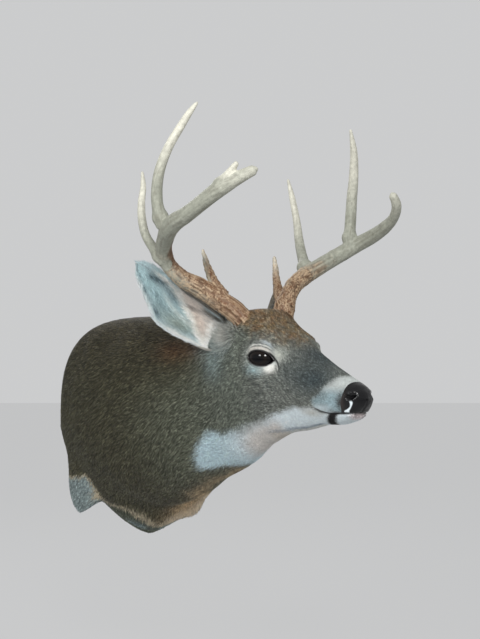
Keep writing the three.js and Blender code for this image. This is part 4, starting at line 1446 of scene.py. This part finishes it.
# %% The antlers
def build_antler(name, side, antler):
    """Tubes, fused, then grooves and pearls pushed out along the normals, then colour."""
    line, tubes = tine_tubes(side, antler)
    points, faces, normals = fused(f"antler_rough_{name}", tubes)
    line = line[nearest(points, line[:, :3])]
    away = points - line[:, :3]
    ahead, radius, share, bright = line[:, 3:6], line[:, 6], line[:, 7], line[:, 8]
    first = unit(np.cross(ahead, ASIDE))
    second = np.cross(ahead, first)
    turn = np.arctan2((away * second).sum(-1), (away * first).sum(-1))
    length = (line[:, :3] * ahead).sum(-1)
    width = np.maximum(radius / 3.4, 0.9)

    def relief(around, along, shift):
        """Noise by the turn round a tine and the length along it, with a scale for each."""
        circle = [np.cos(turn) * width * around, np.sin(turn) * width * around, length / along]
        return noise(np.stack(circle, -1) + shift, 1.0)

    ribs = relief(1, 34, 40)
    fine = relief(2.2, 16, 90)
    beads = relief(4.2, 6.5, 20)
    pearl = smooth(0.46, 0.72, beads) * (1 - smooth(0.14, 0.42, share))
    burr = (1 - smooth(0.02, 0.05, share)) * smooth(0.36, 0.8, noise(points, 5.0))
    thick = smooth(5, 12, radius)
    worn = mix(1.0, 0.45, smooth(0.3, 0.6, share + bright))
    push = worn * thick * (1.2 * (ribs - 0.5) + 0.7 * (fine - 0.5)) + 1.1 * pearl + 1.6 * burr
    height = thick * (ribs - 0.5) + 0.6 * (fine - 0.5) + 0.9 * pearl
    inner = normals @ unit(HEAD_AXES[0] - side * HEAD_AXES[1])
    stain = STAINS[name] * inner * smooth(0.06, 0.24, share)
    reach = share - stain + 0.12 * (ribs - 0.5)
    # Painted shade: near the burr the antler is darker where it faces down.
    beneath = smooth(0.1, -0.9, (normals * UP).sum(-1))
    groove = smooth(0.0, -0.35, height) * (1 - 0.7 * smooth(0.15, 0.45, share))
    fleck = smooth(0.72, 0.86, noise(np.stack([turn * 1.5, length / 5.0, radius], -1) + 150, 1.0))
    colour = layered(all_over(HORN_BASE, points), [
        (HORN_MID, smooth(0.12, 0.34, reach)),
        (HORN_TIP, bright + 0.3 * (fine - 0.5)),
        (HORN_DARK, 0.45 * beneath * (1 - smooth(0.2, 0.45, share))),
        (HORN_PEARL, 0.55 * bell(share - 0.27, 0.1) * smooth(0.35, 0.65, fine)),
        (HORN_DARK, 0.7 * groove),
        (HORN_DARK, 0.5 * fleck * (1 - bright) * mix(1.0, 0.4, smooth(0.2, 0.4, share))),
        (HORN_PEARL, 0.72 * smooth(0.15, 0.7, pearl)),
    ])
    return new_piece(f"antler_{name}", points + normals * push[:, None], faces, horn_finish, colour)


for name, side in SIDES:
    piece = build_antler(name, side, ANTLERS[name])
    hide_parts(*[f"antler_{name}_{part}" for part in ANTLER_NODES])

# %% [markdown]
# ## The coat
#
# Fur could be a particle system or curves, but neither survives export to a plain mesh. Here
# each tuft is a thin closed spindle of six triangles: a root sunk in the skin, a flat ring of
# three points a little way along, and a tip. Tufts lie along the body like roof tiles. Each is
# a clump of hairs, so its root is dark and its tip pale or dark, which gives the grizzled look.
#
# Every tuft also has a place on a map called OFBake: a patch about 0.003 across where its root
# is on the piece's part of the unrolled grid, so that its colour can be stored there.

# %% Where tufts grow
def scatter(grid, weight, count, seed):
    """Grid places (row, column) for `count` tufts, as many in a cell as its area and weight say.

    The cells' shares are added up, and even steps along that sum, each moved by a random part
    of a step, fall into cells in proportion.
    """
    rng = np.random.default_rng(seed)
    columns = grid.shape[1]
    closed = np.concatenate([grid, grid[:, :1]], 1)
    one = closed[1:, 1:] - closed[:-1, :-1]
    two = closed[1:, :-1] - closed[:-1, 1:]
    share = np.linalg.norm(np.cross(one, two), axis=-1) * weight[:-1]
    total = np.cumsum(share.ravel())
    steps = (np.arange(count) + rng.random(count)) / count * total[-1]
    cell = np.minimum(np.searchsorted(total, steps), total.size - 1)
    return cell // columns + rng.random(count), cell % columns + rng.random(count)


def at(values, row, column):
    """A grid's values at places between its points, by blending the four corners."""
    columns = values.shape[1]
    j, i = row.astype(int), column.astype(int)
    f, g = (row - j)[:, None], (column - i)[:, None]
    i, k = i % columns, (i + 1) % columns
    low = values[j, i] * (1 - g) + values[j, k] * g
    high = values[j + 1, i] * (1 - g) + values[j + 1, k] * g
    return low * (1 - f) + high * f


def value_at(values, row, column):
    """The same for a grid of single numbers."""
    return at(values[..., None], row, column)[:, 0]


# %% Tufts as one mesh
RING_AT = 0.4  # the share of a tuft's length where its ring is
SUNK = 0.9  # how deep in the skin a tuft starts
OFF_WALL = 0.8  # how far every tuft stays from the wall
TUFT_FACES = np.array([[0, 1, 3], [0, 3, 2], [0, 2, 1], [4, 3, 1], [4, 2, 3], [4, 1, 2]])
TUFT_PATCH = np.array([[0, -1], [-1, 0], [1, 0], [0, 0.2], [0, 1]]) * 0.0015


def grow(name, root, normal, lie, length, width, lift, colours, places, bend=0.25):
    """One piece of coat from whole arrays of tufts.

    The ring is two fifths of the length along, lifted off the skin by the lift angle. From
    there the tip rises by only the bend's share of that angle. Width is the ring's, and it is
    a third as thick. No hair goes through the wall: there a tuft lies flat, with its points a
    little apart.
    """
    side = unit(np.cross(normal, lie))
    length, width, lift = length[:, None], width[:, None], lift[:, None]
    rise = np.sin(lift) * normal + np.cos(lift) * lie
    level = np.sin(bend * lift) * normal + np.cos(bend * lift) * lie
    ring = root + RING_AT * length * rise
    tip = ring + (1 - RING_AT) * length * level
    sunk = root - SUNK * normal - 0.2 * length * lie
    left, right = ring + 0.5 * width * side, ring - 0.5 * width * side
    points = np.stack([sunk, left, right, ring + 0.33 * width * normal, tip], 1).reshape(-1, 3)
    off_wall = OFF_WALL + 0.4 * np.tile([0, 1, 1, 2, 1], len(root))
    points[:, 1] = np.minimum(points[:, 1], -off_wall)
    triangles = (TUFT_FACES[None] + 5 * np.arange(len(root))[:, None, None]).reshape(-1, 3)
    piece = new_piece(name, points, triangles, hair_finish, colours.reshape(-1, 3))
    layer = piece.data.uv_layers.new(name="OFBake")
    spots = (np.clip(places, 0.004, 0.996)[:, None] + TUFT_PATCH).reshape(-1, 2)
    layer.data.foreach_set("uv", spots[triangles.ravel()].astype(np.float32).ravel())
    return piece


PALE_FROM, DARK_UNDER = 0.76, 0.3  # the chances from 0 to 1 that make a tuft pale or dark


def hair_colours(base, seed, contrast=1.0):
    """Root, ring and tip colours of each tuft about its base colour.

    Dark hair is banded: a darker root, then pale or dark ends by chance, which is drawn for
    each tuft. White hair hardly varies.
    """
    rng = np.random.default_rng(seed)
    count = len(base)
    bright = base.mean(1)
    banded = contrast * smooth(0.6, 0.15, bright)[:, None]
    chance = rng.random((count, 1))
    own = 1 + (rng.random((count, 1)) - 0.5) * mix(0.2, 0.9, banded)
    pale = (chance > PALE_FROM) * banded
    dark = (chance < DARK_UNDER) * banded
    root = base * mix(0.88, 0.5, banded)
    ring = base * own * (1 - 0.5 * dark) * (1 + 0.9 * pale)
    tip = base * own * (1 + 1.1 * pale) * (1 - 0.5 * dark) * mix(1.02, 1.2, banded)
    tip = mix(tip, tip.mean(1, keepdims=True) * np.array([1.08, 1.0, 0.84]), 0.35 * pale)
    return np.clip(np.stack([root, ring, ring, ring, tip], 1), 0, 0.92)


# %% How the coat lies
# Hair points to the rear, sags on the trunk and the neck, and swirls a little in patches.
rearward = -unit(np.gradient(skin_grid, axis=0))
sag = -UP + (skin_normal @ UP)[..., None] * skin_normal
sag_share = through([[0, 0.5], [200, 0.45], [380, 0.3], [480, 0.12], [708, 0.0]])(ring_s)
swirl = (noise(skin_grid + 500, 60) - 0.5)[..., None] * np.cross(skin_normal, rearward)
skin_lie = rearward + sag_share[..., None] * sag + 0.5 * swirl
skin_lie = unit(skin_lie - (skin_lie * skin_normal).sum(-1, keepdims=True) * skin_normal)

# Combed hair parts into locks: noise drawn out along the lie, finer towards the nose.
lock_width = through([[0, 2.4], [400, 2.0], [470, 1.5], [560, 1.3], [708, 1.1]])(ring_s)
across_coat = (ring_angle - np.pi) * half_width(ring_s) / lock_width
slope = sag_share * ring_s / lock_width * np.sign(np.sin(ring_angle))
locks = np.stack([across_coat + 0.8 * slope, ring_s / (4.2 * lock_width), 0 * ring_s], -1)
streaks = 0.6 * noise(locks + 300, 1.0) + 0.4 * noise(skin_grid + 70, 2.6)
streak_depth = through([[0, 0.7], [420, 0.75], [500, 0.8], [708, 0.7]])

# %% How long and how close the tufts are
# a tuft's length and width, and how many there are to an area, by s
tuft_length = through(
    [[0, 15], [250, 13.5], [380, 10.5], [440, 7.8], [500, 6.2], [580, 5.0], [640, 3.8], [708, 3.0]]
)
tuft_width = through(
    [[0, 1.35], [250, 1.2], [380, 0.98], [440, 0.78], [500, 0.68], [600, 0.58], [708, 0.5]]
)
tuft_share = through(
    [[0, 1.0], [250, 1.0], [400, 1.5], [450, 2.6], [500, 3.6], [600, 4.4], [708, 5.5]]
)

head_grid = to_head(skin_grid)
head_x, head_z = head_grid[..., 0], head_grid[..., 2]
mouth_width = mix(1.6, 3.0, smooth(130, 150, head_x))
bare = (head_x > 144 + pad_shift(head_z)) & (head_z > mouth_line(head_x) - 1)  # the nose pad
bare |= head_x > 158  # the front of the lips
bare |= (np.abs(head_z - mouth_line(head_x)) < mouth_width) & (head_x > 86)  # the mouth
bare |= ring_s < 4  # the fold at the wall
near_eye = np.ones(ring_s.shape)
for side in (-1, 1):
    u, v, height = in_eye_frame(head_grid, side)
    gap = np.where(height > EYE_ZONE, lid_gap(u, v), 99)
    bare |= gap < 1.4  # the eye
    bare |= (duct_distance(u, v) < 2.4) & (height > EYE_ZONE)  # the crease ahead of it
    near_eye = near_eye * mix(0.5, 1.0, smooth(4, 20, gap))
    burr = np.array([-73.0, 46.0 * side, 68.0])
    bare |= np.linalg.norm(head_grid - burr, axis=-1) < 15  # under the antler
skin_weight = np.where(bare, 0, tuft_share(ring_s))
print("share of the skin that is bare:", round(float(bare.mean()), 3))

# %% The skin's coat, in pieces
# name, from and to along the form, the animal's side, and how many tufts
COAT_PIECES = [
    ("trunk_right", 0, 165, -1, 27000),
    ("trunk_left", 0, 165, 1, 21000),
    ("neck_right", 165, 400, -1, 30000),
    ("neck_left", 165, 400, 1, 22000),
    ("cheek_right", 400, 505, -1, 30000),
    ("cheek_left", 400, 505, 1, 20000),
    ("face_right", 505, FORM_LENGTH, -1, 32000),
    ("face_left", 505, FORM_LENGTH, 1, 22000),
]
THIN = 1.0
on_right = ring_angle > np.pi


def skin_places(row, column):
    """Places on the skin's unrolled grid, stretched so that a piece's own fill the map."""
    places = np.stack([column / SKIN_COLUMNS, row / SKIN_RINGS], -1)
    low, high = places.min(0), places.max(0)
    return (places - low) / (high - low)


for number, (name, start, end, side, count) in enumerate(COAT_PIECES):
    inside = (ring_s >= start) & (ring_s < end) & (on_right == (side < 0))
    count = int(count * THIN)
    row, column = scatter(skin_grid, np.where(inside, skin_weight, 0), count, 100 + number)
    rng = np.random.default_rng(200 + number)
    root = at(skin_grid, row, column)
    normal = unit(at(skin_normal, row, column))
    lie = unit(at(skin_lie, row, column))
    s = value_at(ring_s, row, column)
    drift = mix(0.4, 0.2, smooth(380, 480, s)) * (noise(root, 9) - 0.5)
    wander = rng.normal(0, 0.13, (count, 1)) + drift[:, None]
    lie = unit(lie + wander * np.cross(normal, lie))
    length = tuft_length(s) * (0.75 + 0.5 * rng.random(count)) * mix(0.4, 1.0, smooth(0, 40, s))
    length = length * value_at(near_eye, row, column)
    width = tuft_width(s) * (0.8 + 0.4 * rng.random(count)) / np.sqrt(THIN)
    lift = np.radians(mix(13.0, 9.0, smooth(380, 480, s))) * (0.6 + 0.8 * rng.random(count))
    shift = rng.normal(0, 0.7, (2, count))
    near_row = np.clip(row + shift[0], 0, SKIN_RINGS - 1.01)
    base = at(skin_colour, near_row, (column + shift[1]) % SKIN_COLUMNS)
    pale = smooth(0.25, 0.6, base.mean(1))
    depth = streak_depth(s) * (1 - 0.65 * pale)
    base = base * (1 + depth * (value_at(streaks, row, column) - 0.5))[:, None]
    mottled = mix(0.8, 1.4, smooth(8, 34, to_head(root)[:, 2]))
    mottled = mottled * smooth(430, 480, s) * smooth(0.4, 0.2, base.mean(1))
    base = base * (1 + mottled * (noise(root, 3.0) - 0.45))[:, None]
    tints = hair_colours(base, 300 + number)
    places = skin_places(row, column)
    piece = grow(f"coat_{name}", root, normal, lie, length, width, lift, tints, places)

# %% [markdown]
# The ears have two coats. Behind, the hair is short and lies from base to tip. Inside, pale
# hair grows mostly along the edges and from the base, longer than on the face, and lies along
# the ear and across it.

# %% The ears' coats
EAR_TUFTS = {"right": 16000, "left": 10000}

for number, (name, (grid, colour)) in enumerate(ear_grids.items()):
    normal_grid = grid_normals(grid)
    middle = grid.mean(1, keepdims=True)
    normal_grid = normal_grid * np.sign(((grid - middle) * normal_grid).sum(-1).mean())
    count = int(EAR_TUFTS[name] * THIN)
    a, across = np.clip(ear_a, 0, 1), -np.cos(ear_turn)
    inner = smooth(0.1, -0.1, np.sin(ear_turn))
    edges = smooth(0.45, 0.95, np.abs(across)) + smooth(0.3, 0.0, a) + 0.8 * smooth(0.2, -0.5, across)
    weight = np.where(ear_a < 0, 0, mix(1.0, 0.55 + 1.2 * edges, inner))
    row, column = scatter(grid, weight, count, 400 + number)
    rng = np.random.default_rng(420 + number)
    root, normal = at(grid, row, column), unit(at(normal_grid, row, column))
    up_ear = unit(at(np.gradient(grid, axis=0), row, column))
    is_in, edge, from_base, over = at(np.stack([inner, edges, a, across], -1), row, column).T
    sideways = np.cross(normal, up_ear)
    wander = rng.normal(0, 0.16, (count, 1))
    spread_out = (over * 0.3 * (1 - is_in) - 0.15 * is_in)[:, None]
    lie = unit(up_ear + (wander + spread_out) * sideways)
    length = mix(7.0, 8.0 + 9.0 * np.clip(edge, 0, 1) * (1 - 0.5 * from_base), is_in)
    length = length * (0.7 + 0.6 * rng.random(count)) * mix(0.7, 1.0, smooth(1.0, 0.8, from_base))
    fringe = (1 - is_in) * smooth(-0.7, -0.95, over) * smooth(0.42, 0.3, from_base)
    lie = unit(lie - 1.1 * fringe[:, None] * sideways)
    length = length * (1 + 0.9 * fringe)
    width = mix(0.85, 0.7, is_in) * (0.8 + 0.4 * rng.random(count)) / np.sqrt(THIN)
    lift = np.radians(mix(9.0, 13.0, is_in)) * (0.5 + rng.random(count))
    base = at(colour, row, column) * (0.9 + 0.2 * noise(root, 6))[:, None]
    base = blend(base, WHITE, 0.25 * is_in * np.clip(edge, 0, 1) * smooth(0.15, 0.35, base.mean(1)))
    # The fringe by the antler is dark hair with a painted shadow of the antler on it.
    base = blend(base, EAR_DARK_AND_SHADOW, 0.85 * fringe * mix(0.4, 1.0, smooth(0.3, 0.6, noise(root, 4))))
    tints = hair_colours(base, 440 + number, 0.7)
    places = np.stack([column / grid.shape[1], row / grid.shape[0]], -1)
    piece = grow(f"coat_ear_{name}", root, normal, lie, length, width, lift, tints, places)

# %% [markdown]
# Where an ear leaves the head, the head's hair runs up over its base and fans into the ear, so
# no edge shows. These tufts are rooted in the skin but point along the ear, and those in front
# of it point down.

# %% Hair over the ears' bases
BASE_TUFTS = 2300

for number, (name, side) in enumerate(SIDES):
    start, axis, inward = ear_frame(EARS[name])
    centre = start + 6 * inward
    weight = bell(np.linalg.norm(head_grid - centre, axis=-1), 19) * (head_grid[..., 1] * side > 0)
    weight = weight * smooth(-16, -2, (head_grid - start) @ inward)
    count = int(BASE_TUFTS * THIN)
    row, column = scatter(skin_grid, weight, count, 500 + number)
    rng = np.random.default_rng(520 + number)
    root, normal = at(skin_grid, row, column), unit(at(skin_normal, row, column))
    out = to_head(root) - centre
    out = out - (out @ axis)[:, None] * axis
    front = smooth(-12, 8, out @ inward) * smooth(22, 2, out[:, 2])
    heading = mix(axis, unit(np.array([-0.35, 0.45 * side, -0.8])), 0.8 * front[:, None])
    heading = heading + 0.006 * out + rng.normal(0, 0.17, (count, 3))
    heading = unit(heading) @ HEAD_AXES
    straight = (heading * normal).sum(-1)
    lie = unit(heading - straight[:, None] * normal)
    length = 6 + 20 * rng.random(count) ** 1.6
    length = length * (1 - 0.4 * smooth(10, 26, np.linalg.norm(out, axis=1)))
    width = (0.6 + 0.4 * rng.random(count)) / np.sqrt(THIN)
    base = at(skin_colour, row, column)
    low = smooth(6, -14, to_head(root)[:, 2] - start[2])
    base = blend(base, paint(206, 212, 204), 0.9 * rng.random(count) * mix(0.5, 1.0, low))
    base = blend(base, paint(84, 94, 96), 0.8 * (rng.random(count) < 0.24))
    tints = hair_colours(base, 540 + number, 0.8)
    tone = blend(all_over(EAR_INSIDE, root), EAR_CREAM, smooth(12, 34, to_head(root)[:, 2]))
    tints[:, 1:4] = mix(tints[:, 1:4], 0.8 * tone[:, None], 0.12)
    tints[:, 4] = mix(tints[:, 4], 0.85 * tone, 0.4)
    by_ear = smooth(17, 7, np.linalg.norm(out, axis=1)) * smooth(-14, 0, out @ inward)
    tints = mix(tints, 0.9 * tone[:, None], 0.55 * by_ear[:, None, None])
    lift = np.arcsin(np.clip(straight, -1, 1))
    places = skin_places(row, column)
    piece = grow(f"coat_ear_base_{name}", root, normal, lie, length, width, lift, tints, places, 0.9)

# %% [markdown]
# ## The board and the hanger
#
# The CAD model's board and hanger have the right shapes, so they stay and only get finishes.
# Plywood shows long grain on its faces and thin plies at its edge. Both can come from object
# coordinates: noise drawn out along the height, and bands across the thickness.

# %% Plywood
ply_finish, ply_tree, ply_shader = new_material("plywood", 0.72, 0.3)
ply_split = on_object(ply_tree, ply_tree.nodes.new("ShaderNodeSeparateXYZ"))
ply_bands = worked(ply_tree, "PINGPONG", ply_split.outputs["Y"], 0.0026)
ply_colour = ply_tree.nodes.new("ShaderNodeMix")
ply_colour.data_type = "RGBA"
ply_colour.inputs["A"].default_value = (*paint(206, 172, 126), 1)
ply_colour.inputs["B"].default_value = (*paint(164, 122, 80), 1)
ply_step = ranged(ply_tree, ply_bands, 0.0, 1.0, 0.0011, 0.0015)
ply_tree.links.new(ply_step, ply_colour.inputs["Factor"])
ply_grain = object_noise(ply_tree, 60, 4, (1, 1, 0.07))
ply_varied = vary(ply_tree, ply_colour.outputs["Result"], 0.3, ply_grain)
ply_tree.links.new(ply_varied, ply_shader.inputs["Base Color"])
set_bump(ply_tree, ply_shader, ply_grain, 0.5, 0.0006)

# %% Zinced steel
zinc_finish, zinc_tree, zinc_shader = new_material("zinced_steel", 0.38)
zinc_shader.inputs["Metallic"].default_value = 1.0
zinc_grey = ranged(zinc_tree, object_cells(zinc_tree, 160.0)["Color"], 0.46, 0.66)
zinc_tree.links.new(zinc_grey, zinc_shader.inputs["Base Color"])
set_bump(zinc_tree, zinc_shader, object_noise(zinc_tree, 300), 0.3, 0.0001)

for node, finish in (("backboard", ply_finish), ("hanger", zinc_finish)):
    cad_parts[node].material_slots[0].material = finish
    print(node, "is finished with", finish.name)

# %% [markdown]
# ## Floor, background and light
#
# The mount hangs in front of nothing but a pale room, so that it can be seen from behind as
# well. The floor lies well below it. Three broad lamps and a dim pale world light it at a level
# at which a colour looks about as it is painted. What the camera and the reflections see of the
# world is a paler colour, which adds no light.

# %% The floor
BACKGROUND = (0.6, 0.605, 0.61)
FLOOR_HALF, FLOOR_Z = 9.0, -0.62
FLOOR_SEEN = 0.8  # how much of the floor's look is the background's own colour


def mixed(tree, share, one, two, output):
    """Sends an output node one shader where share is 0 and the other where it is 1."""
    node = tree.nodes.new("ShaderNodeMixShader")
    for socket, source in zip(node.inputs, (share, one, two)):
        tree.links.new(source, socket)
    tree.links.new(node.outputs["Shader"], tree.nodes[output].inputs["Surface"])


floor_mesh = bpy.data.meshes.new("floor")
corners = [(x * FLOOR_HALF, y * FLOOR_HALF, FLOOR_Z) for x, y in ((-1, -1), (1, -1), (1, 1), (-1, 1))]
floor_mesh.from_pydata(corners, [], [(0, 1, 2, 3)])
floor = bpy.data.objects.new("floor", floor_mesh)
bpy.context.collection.objects.link(floor)
floor_finish, floor_tree, floor_shader = new_material("pale_floor", 0.9, 0.1)
floor_shader.inputs["Base Color"].default_value = (*BACKGROUND, 1)
floor_glow = add_node(floor_tree, "ShaderNodeEmission", Color=(*BACKGROUND, 1), Strength=1.0)
floor_path = floor_tree.nodes.new("ShaderNodeLightPath").outputs
floor_share = worked(floor_tree, "MULTIPLY", floor_path["Is Camera Ray"], FLOOR_SEEN)
mixed(floor_tree, floor_share, floor_shader.outputs[0], floor_glow.outputs[0], "Material Output")
floor_mesh.materials.append(floor_finish)
floor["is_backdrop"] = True

# %% The world
world = bpy.data.worlds.new("room")
bpy.context.scene.world = world
world.use_nodes = True
sky = world.node_tree
sky_light = sky.nodes["Background"]
sky_light.inputs["Color"].default_value = (1.0, 1.0, 1.0, 1)
sky_light.inputs["Strength"].default_value = 0.5
sky_seen = add_node(sky, "ShaderNodeBackground", Color=(*BACKGROUND, 1), Strength=1.0)
sky_path = sky.nodes.new("ShaderNodeLightPath").outputs
glossy = worked(sky, "MAXIMUM", sky_path["Is Glossy Ray"], sky_path["Is Transmission Ray"])
seen = worked(sky, "MAXIMUM", sky_path["Is Camera Ray"], glossy)
mixed(sky, seen, sky_light.outputs[0], sky_seen.outputs[0], "World Output")


# %% Lamps
def lamp(name, location, power, size, target=(0.2, -0.4, 0.15)):
    """A square area lamp that faces a target."""
    data = bpy.data.lights.new(name, "AREA")
    data.energy = power
    data.size = size
    made = bpy.data.objects.new(name, data)
    made.location = location
    made.rotation_euler = (Vector(target) - Vector(location)).to_track_quat("-Z", "Y").to_euler()
    bpy.context.collection.objects.link(made)
    return made


lamp("key", (0.25, -2.5, 1.2), power=32, size=0.45)
lamp("fill", (-1.1, -2.1, 1.1), power=16, size=0.45)
lamp("rear", (-0.8, 1.8, 1.6), power=16, size=1.0)
bpy.context.scene.view_settings.view_transform = "Standard"

# %% [markdown]
# ## Sizes
#
# The looks are meant to keep the object's size, so the finished model's box is printed.

# %% The finished model's box
low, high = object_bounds()
print("visual box, metres:", tuple(low), tuple(high))
